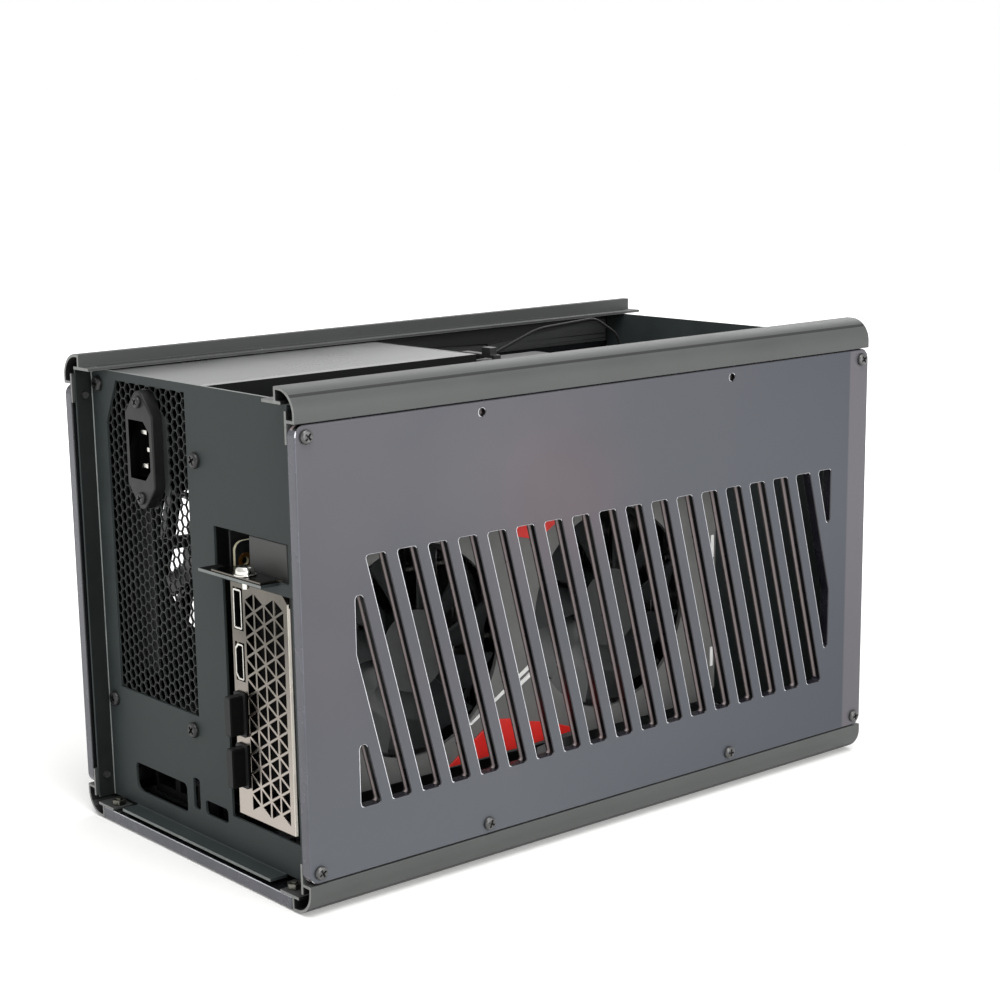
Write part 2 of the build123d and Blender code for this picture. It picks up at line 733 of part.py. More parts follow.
with BuildPart() as psu_heat_sinks:
    for sink_z in (-38, 36):
        with BuildSketch(Plane.XZ.offset(-psu_board_face)):
            with Locations((psu_mid_x + 4, psu_mid_z + sink_z)):
                Rectangle(84, 3)
        extrude(amount=-38)
        with BuildSketch(Plane.XY.offset(psu_mid_z + sink_z)):
            for fin in range(7):
                with Locations((psu_mid_x + 4 - 36 + fin * 12, psu_board_face + 28)):
                    Rectangle(1.5, 18)
        extrude(amount=12 if sink_z > 0 else -12)
psu_heat_sinks.part.label = "psu_heat_sinks"
export_step(psu_heat_sinks.part, "parts/psu_heat_sinks.step")

with BuildPart() as psu_capacitors:
    with BuildSketch(Plane.XZ.offset(-psu_board_face)):
        with Locations((psu_mid_x - 38, psu_mid_z - 12), (psu_mid_x - 38, psu_mid_z + 16)):
            Circle(12)
    extrude(amount=-40)
    with BuildSketch(Plane.XZ.offset(-psu_board_face)):
        with Locations((psu_mid_x + 40, psu_mid_z - 18), (psu_mid_x + 40, psu_mid_z), (psu_mid_x + 40, psu_mid_z + 18)):
            Circle(6)
    extrude(amount=-22)
psu_capacitors.part.label = "psu_capacitors"
export_step(psu_capacitors.part, "parts/psu_capacitors.step")

# Card bracket: two slots wide, lattice of triangles, ports, flange on the ledge
with BuildPart() as card_bracket:
    with BuildSketch(Plane.YZ.offset(-bracket_outer)) as bracket_face:
        with Locations((bracket_near, bracket_low)):
            Rectangle(bracket_far - bracket_near, ledge_height + bracket_sheet - bracket_low,
                      align=(Align.MIN, Align.MIN))
        with Locations((bracket_far - 3, bracket_tongue)):
            Rectangle(10, bracket_low - bracket_tongue, align=(Align.MAX, Align.MIN))
        with Locations((bracket_near + 3, bracket_tongue)):
            Rectangle(10, bracket_low - bracket_tongue, align=(Align.MIN, Align.MIN))
        lattice_column = lattice_pitch * sqrt(3) / 2
        for column in range(lattice_columns):
            for row in range(2 * lattice_rows):
                point_right = (row + column) % 2 == 0
                base = lattice_near + column * lattice_column
                centre_y = base + lattice_column * (1 / 3 if point_right else 2 / 3)
                centre_z = lattice_low + (row + 1) * lattice_pitch / 2
                with Locations((centre_y, centre_z)):
                    RegularPolygon(lattice_pitch / sqrt(3) - lattice_web, 3, rotation=0 if point_right else 180,
                                   mode=Mode.SUBTRACT)
        for port_height, port_tall in zip(port_heights, port_talls):
            with Locations((port_y, port_height)):
                Rectangle(port_width + 2 * port_play, port_tall + 2 * port_play, mode=Mode.SUBTRACT)
        with BuildLine():
            Polyline(
                (bracket_near, card_gate_high - bracket_corner + 0.5),
                (bracket_near + bracket_corner, card_gate_high + 0.5),
                (bracket_near + bracket_corner, ledge_height + 2 * bracket_sheet),
                (bracket_near, ledge_height + 2 * bracket_sheet),
                close=True,
            )
        make_face(mode=Mode.SUBTRACT)
    extrude(amount=bracket_sheet)
    with BuildSketch(Plane.XY.offset(ledge_height)):
        with Locations((-ledge_tip + 0.4, bracket_near + bracket_corner)):
            Rectangle(ledge_tip - 0.4 - bracket_outer, bracket_far - bracket_near - bracket_corner - 1,
                      align=(Align.MIN, Align.MIN))
        with Locations((card_screw_x, card_screw_y)):
            Circle(screw_hole / 2, mode=Mode.SUBTRACT)
    extrude(amount=bracket_sheet)
    with BuildSketch(Plane.XZ.offset(-bracket_near - bracket_sheet)):
        with Locations((-bracket_outer, bracket_low + 4)):
            Rectangle(3.0, card_gate_high - bracket_corner - bracket_low - 5, align=(Align.MIN, Align.MIN))
    extrude(amount=bracket_sheet)
card_bracket.part.label = "card_bracket"
export_step(card_bracket.part, "parts/card_bracket.step")

with BuildPart() as card_screw:
    with BuildSketch(Plane.XY.offset(ledge_height + bracket_sheet)):
        with Locations((card_screw_x, card_screw_y)):
            Circle(3.4)
    extrude(amount=2.2)
    chamfer(card_screw.edges().group_by(Axis.Z)[-1], 0.7)
    with BuildSketch(Plane.XY.offset(ledge_height + bracket_sheet)):
        with Locations((card_screw_x, card_screw_y)):
            Circle(screw_shank / 2)
    extrude(amount=-6)
card_screw.part.label = "card_screw"
export_step(card_screw.part, "parts/card_screw.step")

# Card board with edge contacts, a plated corner hole and a hook for the latch
with BuildPart() as card_board:
    with BuildSketch(Plane.XZ.offset(-board_back)) as board_face_sketch:
        with Locations((board_from, board_low)):
            Rectangle(board_to - board_from, board_high - board_low, align=(Align.MIN, Align.MIN))
        fillet(board_face_sketch.vertices(), 4)
        with Locations((slot_body_from + 3, finger_low)):
            Rectangle(13, 12, align=(Align.MIN, Align.MIN))
        with Locations((slot_body_from + 18, finger_low)):
            Rectangle(69, 12, align=(Align.MIN, Align.MIN))
        with Locations((slot_body_to + 0.4, 20.6)):
            Rectangle(2.4, 8, align=(Align.MIN, Align.MIN))
        with Locations((slot_body_to + 0.4, 20.6)):
            Rectangle(4.4, 1.9, align=(Align.MIN, Align.MIN))
        with Locations((board_from + 4.7, 128.2)):
            Circle(1.6, mode=Mode.SUBTRACT)
    extrude(amount=board_thickness)
card_board.part.label = "card_board"
export_step(card_board.part, "parts/card_board.step")

with BuildPart() as card_backplate:
    with BuildSketch(Plane.XZ.offset(-board_back - 3.6)):
        with Locations((board_from + 0.6, board_low + 8)):
            Rectangle(board_to - board_from - 4.6, shroud_high + 1.8 - board_low - 8,
                      align=(Align.MIN, Align.MIN))
    extrude(amount=1.2)
    with BuildSketch(Plane.XZ.offset(-board_back - 2.4)):
        for post_x in (board_from + 26.5, board_from + 126.5, board_from + 210.5):
            for post_z in (42, 128):
                with Locations((post_x, post_z)):
                    Circle(2.5)
    extrude(amount=2.4)
card_backplate.part.label = "card_backplate"
export_step(card_backplate.part, "parts/card_backplate.step")

# Cooler: cold plate on the graphics chip, heat pipes and fins
chip_x = board_from + 111.5
with BuildPart() as card_cold_plate:
    with BuildSketch(Plane.XZ.offset(-board_face)):
        with Locations((chip_x, 86)):
            Rectangle(46, 46)
    extrude(amount=1.9)
    with BuildSketch(Plane.XZ.offset(-board_face + 1.9)):
        with Locations((chip_x, 86)):
            Rectangle(60, 62)
    extrude(amount=board_face - 1.9 - fin_back)
card_cold_plate.part.label = "card_cold_plate"
export_step(card_cold_plate.part, "parts/card_cold_plate.step")

pipe_radius = 2.6
pipe_y = (fin_back + fin_front) / 2
pipe_heights = [62, 80, 98, 116]
with BuildPart() as card_fins:
    fin_step = (shroud_to - shroud_from - 28) / (fin_count - 1)
    with BuildSketch(Plane.XY.offset(shroud_low + 6)):
        for fin in range(fin_count):
            with Locations((shroud_from + 17 + fin * fin_step, fin_front)):
                Rectangle(fin_skin, fin_back - fin_front, align=(Align.CENTER, Align.MIN))
    extrude(amount=shroud_high - shroud_low - 12)
    with BuildSketch(Plane.YZ.offset(shroud_from + 6)):
        for pipe_z in pipe_heights:
            with Locations((pipe_y, pipe_z)):
                Circle(pipe_radius)
    extrude(amount=shroud_to - shroud_from - 12, mode=Mode.SUBTRACT)
    with BuildSketch(Plane.XY.offset(plug_room_low)):
        with Locations((card_plug_x, card_plug_y + 2)):
            Rectangle(plug_room_length, plug_room_width)
    extrude(amount=30, mode=Mode.SUBTRACT)
card_fins.part.label = "card_fins"
export_step(card_fins.part, "parts/card_fins.step")

with BuildPart() as card_heat_pipes:
    with BuildSketch(Plane.YZ.offset(shroud_from + 9)):
        for pipe_z in pipe_heights:
            with Locations((pipe_y, pipe_z)):
                Circle(pipe_radius)
    extrude(amount=shroud_to - shroud_from - 18)
card_heat_pipes.part.label = "card_heat_pipes"
export_step(card_heat_pipes.part, "parts/card_heat_pipes.step")

# Shroud: face with two fan openings, skirts, and posts to the board
with BuildPart() as card_shroud:
    with BuildSketch(Plane.XZ.offset(-shroud_open)) as shroud_outline:
        with Locations((shroud_from, shroud_low)):
            Rectangle(shroud_to - shroud_from, shroud_high - shroud_low, align=(Align.MIN, Align.MIN))
        chamfer(shroud_outline.vertices(), 5)
    extrude(amount=shroud_open - shroud_face)
    with BuildSketch(Plane.XZ.offset(-shroud_open)) as shroud_hollow:
        with Locations((shroud_from + shroud_skin, shroud_low + shroud_skin)):
            Rectangle(shroud_to - shroud_from - 2 * shroud_skin, shroud_high - shroud_low - 2 * shroud_skin,
                      align=(Align.MIN, Align.MIN))
        chamfer(shroud_hollow.vertices(), 4.2)
    extrude(amount=shroud_open - shroud_face - shroud_skin, mode=Mode.SUBTRACT)
    with BuildSketch(Plane.XZ.offset(-shroud_face - 20)):
        with Locations((fan_left_x, fan_z), (fan_right_x, fan_z)):
            Circle(fan_opening / 2)
    extrude(amount=40, mode=Mode.SUBTRACT)
    with BuildSketch(Plane.XZ.offset(-shroud_face - shroud_skin)):
        for post_x in (shroud_from + 21.1, shroud_to - 15):
            for post_z in (shroud_low + 4.5, shroud_high - 7.5):
                with Locations((post_x, post_z)):
                    Circle(2.2)
    extrude(amount=-(board_face - shroud_face - shroud_skin))
    with BuildSketch(Plane.XY.offset(shroud_high - 8)):
        with Locations((card_plug_x, card_plug_y + 2)):
            Rectangle(plug_room_length, plug_room_width)
    extrude(amount=12, mode=Mode.SUBTRACT)
card_shroud.part.label = "card_shroud"
export_step(card_shroud.part, "parts/card_shroud.step")

# Fan mounts: a motor plate on three arms behind each opening, with a shaft
mount_back = rotor_front + rotor_depth + 0.5
mount_skin = 1.6
with BuildPart() as card_fan_mounts:
    for fan_x in (fan_left_x, fan_right_x):
        with BuildSketch(Plane.XZ.offset(-mount_back - mount_skin)):
            with Locations((fan_x, fan_z)):
                Circle(fan_opening / 2 + 1.5)
                Circle(fan_opening / 2 - 1.2, mode=Mode.SUBTRACT)
                Circle(hub_radius - 1)
                for arm in (90, 210, 330):
                    with Locations(Location((27 * cos(radians(arm)), 27 * sin(radians(arm))))):
                        Rectangle(40, 4, rotation=arm)
        extrude(amount=mount_skin)
        with BuildSketch(Plane.XZ.offset(-mount_back)):
            with Locations((fan_x, fan_z)):
                Circle(shaft_radius)
        extrude(amount=rotor_depth - 2.5)
card_fan_mounts.part.label = "card_fan_mounts"
export_step(card_fan_mounts.part, "parts/card_fan_mounts.step")

# Fan rotors: hub cup with swept blades
with BuildPart() as card_fan_left:
    with BuildSketch(Plane.XZ.offset(-rotor_front - rotor_depth)):
        with Locations((fan_left_x, fan_z)):
            Circle(hub_radius)
    extrude(amount=rotor_depth)
    with BuildSketch(Plane.XZ.offset(-rotor_front - rotor_depth)):
        with Locations((fan_left_x, fan_z)):
            Circle(hub_radius - hub_skin)
            Circle(4.0, mode=Mode.SUBTRACT)
    extrude(amount=rotor_depth - hub_skin, mode=Mode.SUBTRACT)
    with BuildSketch(Plane.XZ.offset(-rotor_front - rotor_depth)):
        with Locations((fan_left_x, fan_z)):
            Circle(shaft_radius + shaft_clearance)
    extrude(amount=rotor_depth - 2.0, mode=Mode.SUBTRACT)
    for blade in range(blade_count):
        turn = radians(blade * 360 / blade_count)
        out = Vector(cos(turn), 0, sin(turn))
        along = Vector(-sin(turn), 0, cos(turn))
        middle = Vector(fan_left_x, rotor_front + rotor_depth / 2, fan_z)
        for reach, drift, chord, pitch in blade_sections:
            face = Vector(along.X * cos(radians(pitch)), -sin(radians(pitch)), along.Z * cos(radians(pitch)))
            with BuildSketch(Plane(middle + out * reach + along * drift, x_dir=face, z_dir=out)):
                Rectangle(chord, blade_skin)
        loft(ruled=True)
    with BuildSketch(Plane.XZ.offset(-rotor_front - rotor_depth)):
        with Locations((fan_left_x, fan_z)):
            Circle(rotor_radius)
    extrude(amount=rotor_depth, mode=Mode.INTERSECT)
card_fan_left.part.label = "card_fan_left"
export_step(card_fan_left.part, "parts/card_fan_left.step")

with BuildPart() as card_fan_right:
    add(card_fan_left.part.moved(Location((fan_right_x - fan_left_x, 0, 0))))
card_fan_right.part.label = "card_fan_right"
export_step(card_fan_right.part, "parts/card_fan_right.step")

# Shroud trim: red wedges between the fans and two pale stripes
between = (fan_left_x + fan_right_x) / 2
trim_rise = 0.9
with BuildPart() as shroud_accents:
    with BuildSketch(Plane.XZ.offset(-shroud_face)):
        with BuildLine():
            Polyline(
                (between - 39.0, shroud_low + 0.8),
                (between - 19.5, shroud_low + 13.1),
                (between - 10.5, shroud_low + 16.0),
                (between - 2.5, shroud_low + 14.6),
                (between + 6.0, shroud_low + 11.6),
                (between + 14.5, shroud_low + 9.8),
                (between + 34.5, shroud_low + 2.6),
                (between + 10.0, shroud_low + 1.4),
                close=True,
            )
        make_face()
        with BuildLine():
            Polyline(
                (between - 8.0, shroud_high - 1.5),
                (between - 0.5, shroud_high - 11.4),
                (between + 8.2, shroud_high - 13.7),
                (between + 16.0, shroud_high - 12.1),
                (between + 23.0, shroud_high - 8.1),
                (between + 30.0, shroud_high - 1.5),
                close=True,
            )
        make_face()
        with Locations((fan_left_x, fan_z), (fan_right_x, fan_z)):
            Circle(fan_opening / 2 + 1, mode=Mode.SUBTRACT)
    extrude(amount=trim_rise)
shroud_accents.part.label = "shroud_accents"
export_step(shroud_accents.part, "parts/shroud_accents.step")

with BuildPart() as shroud_stripes:
    with BuildSketch(Plane.XZ.offset(-shroud_face)):
        with BuildLine():
            Polyline(
                (between - 27.8, shroud_low + 16.6),
                (between + 7.6, shroud_low + 37.5),
                (between + 8.8, shroud_low + 35.9),
                (between - 25.8, shroud_low + 16.4),
                close=True,
            )
        make_face()
        with BuildLine():
            Polyline(
                (between - 3.1, shroud_low + 27.6),
                (between + 10.8, shroud_low + 35.4),
                (between + 12.0, shroud_low + 33.9),
                (between - 1.9, shroud_low + 26.1),
                close=True,
            )
        make_face()
        with Locations((fan_left_x, fan_z), (fan_right_x, fan_z)):
            Circle(fan_opening / 2 + 0.4, mode=Mode.SUBTRACT)
    extrude(amount=0.4)
shroud_stripes.part.label = "shroud_stripes"
export_step(shroud_stripes.part, "parts/shroud_stripes.step")

# Display sockets on the card's board, and two dust caps
with BuildPart() as display_sockets:
    for socket_z, socket_tall in zip(port_heights, port_talls):
        with BuildSketch(Plane.YZ.offset(-bracket_outer - 0.3)) as shell_face:
            with Locations((port_y, socket_z)):
                Rectangle(port_width, socket_tall)
            if socket_z == port_heights[1]:
                chamfer(shell_face.vertices().group_by(Axis.X)[-1], port_key)
            fillet(shell_face.vertices(), 0.8)
        extrude(amount=16)
        with BuildSketch(Plane.YZ.offset(-bracket_outer - 0.3)) as shell_mouth:
            with Locations((port_y, socket_z)):
                Rectangle(port_width - 1.2, socket_tall - 1.4)
            if socket_z == port_heights[1]:
                chamfer(shell_mouth.vertices().group_by(Axis.X)[-1], port_key)
        extrude(amount=10, mode=Mode.SUBTRACT)
        with BuildSketch(Plane.YZ.offset(-bracket_outer + 3)):
            with Locations((port_y, socket_z)):
                Rectangle(1.2, socket_tall - 4)
        extrude(amount=7)
        with BuildSketch(Plane.YZ.offset(-bracket_outer + 4)):
            with Locations((board_face, socket_z)):
                Rectangle(board_face - port_y - 2, 4, align=(Align.MAX, Align.CENTER))
        extrude(amount=10)
display_sockets.part.label = "display_sockets"
export_step(display_sockets.part, "parts/display_sockets.step")

with BuildPart() as dust_caps:
    for cap_z in port_heights[2:]:
        with BuildSketch(Plane.YZ.offset(-bracket_outer - 0.35)):
            with Locations((port_y, cap_z)):
                RectangleRounded(cap_base, 18.2, 1.2)
        extrude(amount=-0.8)
        with BuildSketch(Plane.YZ.offset(-bracket_outer - 0.35)):
            with Locations((port_y, cap_z)):
                RectangleRounded(cap_grip, 16.4, 1.0)
        extrude(amount=-cap_rise)
        with BuildSketch(Plane.YZ.offset(-bracket_outer - 0.35)):
            with Locations((port_y - 1.4, cap_z), (port_y + 1.4, cap_z)):
                Rectangle(1.0, 13.6)
        extrude(amount=2.8)
    chamfer(dust_caps.edges().group_by(Axis.X)[0].filter_by(Plane.YZ), 0.5)
dust_caps.part.label = "dust_caps"
export_step(dust_caps.part, "parts/dust_caps.step")

# Card power socket on the board's top edge, plug and lead
with BuildPart() as card_power_socket:
    with BuildSketch(Plane.XY.offset(122)):
        with Locations((card_plug_x, card_plug_y + 2)):
            Rectangle(22, 10)
    extrude(amount=10)
    with BuildSketch(Plane.XY.offset(125)):
        with Locations((card_plug_x, card_plug_y + 2)):
            Rectangle(19, 7)
    extrude(amount=12, mode=Mode.SUBTRACT)
    with BuildSketch(Plane.XZ.offset(-board_face)):
        with Locations((card_plug_x, 124.5)):
            Rectangle(18, 5)
    extrude(amount=board_face - card_plug_y - 7)
card_power_socket.part.label = "card_power_socket"
export_step(card_power_socket.part, "parts/card_power_socket.step")

with BuildPart() as card_power_plug:
    with BuildSketch(Plane.XY.offset(125.2)):
        with Locations((card_plug_x, card_plug_y + 2)):
            Rectangle(18.6, 6.6)
    extrude(amount=8)
    with BuildSketch(Plane.XY.offset(133)):
        with Locations((card_plug_x, card_plug_y + 2)):
            RectangleRounded(21, 9, 1.2)
    extrude(amount=card_plug_high - 133)
card_power_plug.part.label = "card_power_plug"
export_step(card_power_plug.part, "parts/card_power_plug.step")

card_lead_points = [
    (psu_to - 12, card_lead_y, card_lead_z),
    (card_plug_x, card_lead_y, card_lead_z),
    (card_plug_x, card_plug_y + 2, card_lead_z),
    (card_plug_x, card_plug_y + 2, card_plug_high),
]
card_lead_drop = card_lead_z - card_plug_high
card_lead_bends = [15.0, min(15.0, 0.8 * card_lead_drop)]
with BuildPart() as card_lead:
    with BuildLine() as card_lead_path:
        FilletPolyline(*card_lead_points, radius=card_lead_bends)
    with BuildSketch(Plane.YZ.offset(psu_to - 12)):
        with Locations((card_lead_y, card_lead_z)):
            Circle(card_lead_radius)
    sweep(path=card_lead_path.line)
card_lead.part.label = "card_lead"
export_step(card_lead.part, "parts/card_lead.step")

# Flat lead from the supply to the dock board, with grommet and tie
ribbon_points = [
    (psu_to - 12, ribbon_y, ribbon_z),
    (ribbon_drop_x, ribbon_y, ribbon_z),
    (ribbon_drop_x, ribbon_y, dock_plug_high),
]
with BuildPart() as dock_lead:
    with BuildLine() as ribbon_path:
        FilletPolyline(*ribbon_points, radius=[16.0])
    with BuildSketch(Plane.YZ.offset(psu_to - 12)):
        with Locations((ribbon_y, ribbon_z)):
            RectangleRounded(ribbon_width, ribbon_thick, 1.2)
    sweep(path=ribbon_path.line)
dock_lead.part.label = "dock_lead"
export_step(dock_lead.part, "parts/dock_lead.step")

with BuildPart() as lead_grommets:
    with BuildSketch(Plane.YZ.offset(psu_to - psu_wall - 1.5)):
        with Locations((ribbon_y, ribbon_z)):
            Rectangle(ribbon_width + 5.6, ribbon_thick + 9.6)
            Rectangle(ribbon_width + 0.6, ribbon_thick + 5.0, mode=Mode.SUBTRACT)
        with Locations((card_lead_y, card_lead_z)):
            Circle(card_lead_radius + 1.8)
            Circle(card_lead_radius + 0.3, mode=Mode.SUBTRACT)
    extrude(amount=psu_wall + 3)
lead_grommets.part.label = "lead_grommets"
export_step(lead_grommets.part, "parts/lead_grommets.step")

tie_x = psu_to + 23.8
with BuildPart() as lead_tie:
    with BuildSketch(Plane.YZ.offset(tie_x)):
        with Locations((ribbon_y, ribbon_z + thin_lead_radius)):
            Rectangle(ribbon_width + 3.4, ribbon_thick + 2 * thin_lead_radius + 3.4)
            Rectangle(ribbon_width + 0.4, ribbon_thick + 2 * thin_lead_radius + 0.4, mode=Mode.SUBTRACT)
        with Locations((ribbon_y - 6, ribbon_z + ribbon_thick / 2 + 4.6)):
            Rectangle(6, 4)
    extrude(amount=4)
lead_tie.part.label = "lead_tie"
export_step(lead_tie.part, "parts/lead_tie.step")

thin_y = ribbon_y + 3
header_x = dock_from + 191.0
thin_rest_z = ribbon_z + ribbon_thick / 2 + thin_lead_radius + 0.1
thin_points = [
    (psu_to - 12, thin_y, thin_rest_z),
    (psu_to + 32.8, thin_y, thin_rest_z),
    (psu_to + 62.8, thin_y, case_height - 3.4),
    (psu_to + 98.8, thin_y, case_height - 1.4),
    (psu_to + 114.8, thin_y, case_height - 11.0),
    (psu_to + 120.8, thin_y, 120.0),
    (header_x + 12.0, thin_y + 18, 60.0),
    (header_x, thin_y + 18, 17.5),
]
with BuildPart() as thin_lead:
    with BuildLine() as thin_path:
        FilletPolyline(*thin_points, radius=[30.0, 40.0, 12.0, 12.0, 30.0, 20.0])
    with BuildSketch(Plane(thin_path.line @ 0, z_dir=thin_path.line % 0)):
        Circle(thin_lead_radius)
    sweep(path=thin_path.line)
thin_lead.part.label = "thin_lead"
export_step(thin_lead.part, "parts/thin_lead.step")

# Dock board on standoffs, with card slot, latch, sockets and chip
with BuildPart() as dock_board:
    with BuildSketch(Plane.XY.offset(dock_low)):
        with Locations((dock_from, dock_near)):
            Rectangle(dock_to - dock_from, dock_far - dock_near, align=(Align.MIN, Align.MIN))
        with Locations(*standoff_spots):
            Circle(screw_hole / 2, mode=Mode.SUBTRACT)
    extrude(amount=dock_thickness)
dock_board.part.label = "dock_board"
export_step(dock_board.part, "parts/dock_board.step")

with BuildPart() as dock_standoffs:
    with BuildSketch(Plane.XY.offset(panel_seat)):
        with Locations(*standoff_spots):
            RegularPolygon(standoff_radius, 6)
            Circle(screw_hole / 2, mode=Mode.SUBTRACT)
    extrude(amount=dock_low - panel_seat)
dock_standoffs.part.label = "dock_standoffs"
export_step(dock_standoffs.part, "parts/dock_standoffs.step")

with BuildPart() as dock_screws:
    with BuildSketch(Plane.XY.offset(dock_high)):
        with Locations(*standoff_spots):
            Circle(2.7)
    extrude(amount=1.8)
    with BuildSketch(Plane.XY.offset(dock_high)):
        with Locations(*standoff_spots):
            Circle(screw_shank / 2)
    extrude(amount=-5)
dock_screws.part.label = "dock_screws"
export_step(dock_screws.part, "parts/dock_screws.step")

ear_from = slot_body_to
ear_to = latch_pivot_x + 3
with BuildPart() as card_slot:
    with BuildSketch(Plane.XY.offset(dock_high)):
        with Locations(((slot_body_from + slot_body_to) / 2, board_mid)):
            Rectangle(slot_body_to - slot_body_from, slot_body_width)
        for side in (-1, 1):
            with Locations((ear_from, board_mid + side * (latch_width / 2 + latch_side_gap + 0.7))):
                Rectangle(ear_to - ear_from, 1.4, align=(Align.MIN, Align.CENTER))
    extrude(amount=7.0)
    with BuildSketch(Plane.XY.offset(dock_high)):
        with Locations(((slot_body_from + slot_body_to) / 2, board_mid)):
            Rectangle(slot_body_to - slot_body_from, slot_body_width)
    extrude(amount=slot_body_height)
    with BuildSketch(Plane.XY.offset(groove_low)):
        with Locations((slot_body_from + 2.6, board_mid)):
            Rectangle(13.8, board_thickness + 0.3, align=(Align.MIN, Align.CENTER))
        with Locations((slot_body_from + 17.6, board_mid)):
            Rectangle(69.8, board_thickness + 0.3, align=(Align.MIN, Align.CENTER))
    extrude(amount=slot_body_height, mode=Mode.SUBTRACT)
    with BuildSketch(Plane.XZ.offset(-board_mid - 10)):
        with Locations((latch_pivot_x, latch_pivot_z)):
            Circle(latch_pin + latch_fit)
    extrude(amount=20, mode=Mode.SUBTRACT)
card_slot.part.label = "card_slot"
export_step(card_slot.part, "parts/card_slot.step")

with BuildPart() as slot_latch:
    with BuildSketch(Plane.XZ.offset(-board_mid - latch_width / 2)):
        with BuildLine():
            Polyline(
                (latch_pivot_x - 1.4, latch_pivot_z - 1.8),
                (latch_pivot_x + 1.6, latch_pivot_z - 1.8),
                (latch_pivot_x + 3.6, latch_pivot_z + 1.4),
                (latch_pivot_x + 10.0, latch_pivot_z + 2.4),
                (latch_pivot_x + 10.0, latch_pivot_z + 5.0),
                (latch_pivot_x + 1.4, latch_pivot_z + 5.0),
                (latch_pivot_x + 0.4, latch_pivot_z + 7.7),
                (latch_pivot_x - 4.8, latch_pivot_z + 7.7),
                (latch_pivot_x - 4.8, latch_pivot_z + 5.9),
                (latch_pivot_x - 2.4, latch_pivot_z + 5.5),
                (latch_pivot_x - 2.0, latch_pivot_z + 1.8),
                close=True,
            )
        make_face()
    extrude(amount=latch_width)
    with BuildSketch(Plane.XZ.offset(-board_mid - slot_body_width / 2 + 0.2)):
        with Locations((latch_pivot_x, latch_pivot_z)):
            Circle(latch_pin)
    extrude(amount=slot_body_width - 0.4)
slot_latch.part.label = "slot_latch"
export_step(slot_latch.part, "parts/slot_latch.step")

with BuildPart() as link_socket:
    with BuildSketch(Plane.YZ.offset(dock_from + 1)):
        with Locations((37, dock_high)):
            Rectangle(36, 12.4, align=(Align.CENTER, Align.MIN))
    extrude(amount=24)
    with BuildSketch(Plane.YZ.offset(dock_from + 1)):
        with Locations((46, 20.2), (28, 20.2)):
            Rectangle(14, 6)
    extrude(amount=14, mode=Mode.SUBTRACT)
link_socket.part.label = "link_socket"
export_step(link_socket.part, "parts/link_socket.step")

with BuildPart() as dock_switch:
    with BuildSketch(Plane.YZ.offset(dock_from + 1)):
        with Locations((8.7, dock_high)):
            Rectangle(7, 17.6, align=(Align.CENTER, Align.MIN))
    extrude(amount=12)
    with BuildSketch(Plane.YZ.offset(dock_from + 1)):
        with Locations((8.7, 25)):
            Rectangle(3.4, 5)
    extrude(amount=-2.5)
dock_switch.part.label = "dock_switch"
export_step(dock_switch.part, "parts/dock_switch.step")

with BuildPart() as dock_port:
    with BuildSketch(Plane.YZ.offset(dock_from + 1)):
        with Locations((-6.3, dock_high)):
            Rectangle(15.6, 10, align=(Align.CENTER, Align.MIN))
    extrude(amount=16)
    with BuildSketch(Plane.YZ.offset(dock_from + 1)):
        with Locations((-6.3, 21)):
            RectangleRounded(12.5, 4.2, 1.6)
    extrude(amount=12, mode=Mode.SUBTRACT)
dock_port.part.label = "dock_port"
export_step(dock_port.part, "parts/dock_port.step")

with BuildPart() as dock_power_socket:
    with BuildSketch(Plane.XY.offset(dock_high)):
        with Locations((ribbon_drop_x, ribbon_y)):
            Rectangle(10, 26)
    extrude(amount=11)
    with BuildSketch(Plane.XY.offset(dock_high + 3)):
        with Locations((ribbon_drop_x, ribbon_y)):
            Rectangle(7, 23)
    extrude(amount=11, mode=Mode.SUBTRACT)
dock_power_socket.part.label = "dock_power_socket"
export_step(dock_power_socket.part, "parts/dock_power_socket.step")

with BuildPart() as dock_power_plug:
    with BuildSketch(Plane.XY.offset(dock_high + 3.2)):
        with Locations((ribbon_drop_x, ribbon_y)):
            Rectangle(6.6, 22.6)
    extrude(amount=9)
    with BuildSketch(Plane.XY.offset(dock_high + 11.4)):
        with Locations((ribbon_drop_x, ribbon_y)):
            RectangleRounded(9.4, 25, 1.2)
    extrude(amount=dock_plug_high - dock_high - 11.4)
dock_power_plug.part.label = "dock_power_plug"
export_step(dock_power_plug.part, "parts/dock_power_plug.step")

with BuildPart() as dock_header:
    with BuildSketch(Plane.XY.offset(dock_high)):
        with Locations((header_x, thin_y + 18)):
            Rectangle(6, 8)
    extrude(amount=3.6)
dock_header.part.label = "dock_header"
export_step(dock_header.part, "parts/dock_header.step")

sink_x = dock_from + 65.0
with BuildPart() as dock_heat_sink:
    with BuildSketch(Plane.XY.offset(dock_high)):
        with Locations((sink_x, 22)):
            Rectangle(24, 24)
    extrude(amount=2)
    with BuildSketch(Plane.XY.offset(dock_high + 2)):
        with Locations((sink_x, 22)):
            Rectangle(36, 36)
    extrude(amount=3)
    with BuildSketch(Plane.XY.offset(dock_high + 5)):
        for fin in range(8):
            with Locations((sink_x, 22 - 16.8 + fin * 4.8)):
                Rectangle(36, 1.4)
    extrude(amount=9)
dock_heat_sink.part.label = "dock_heat_sink"
export_step(dock_heat_sink.part, "parts/dock_heat_sink.step")
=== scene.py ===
import json
import math
import bpy
from mathutils import Euler, Matrix, Vector


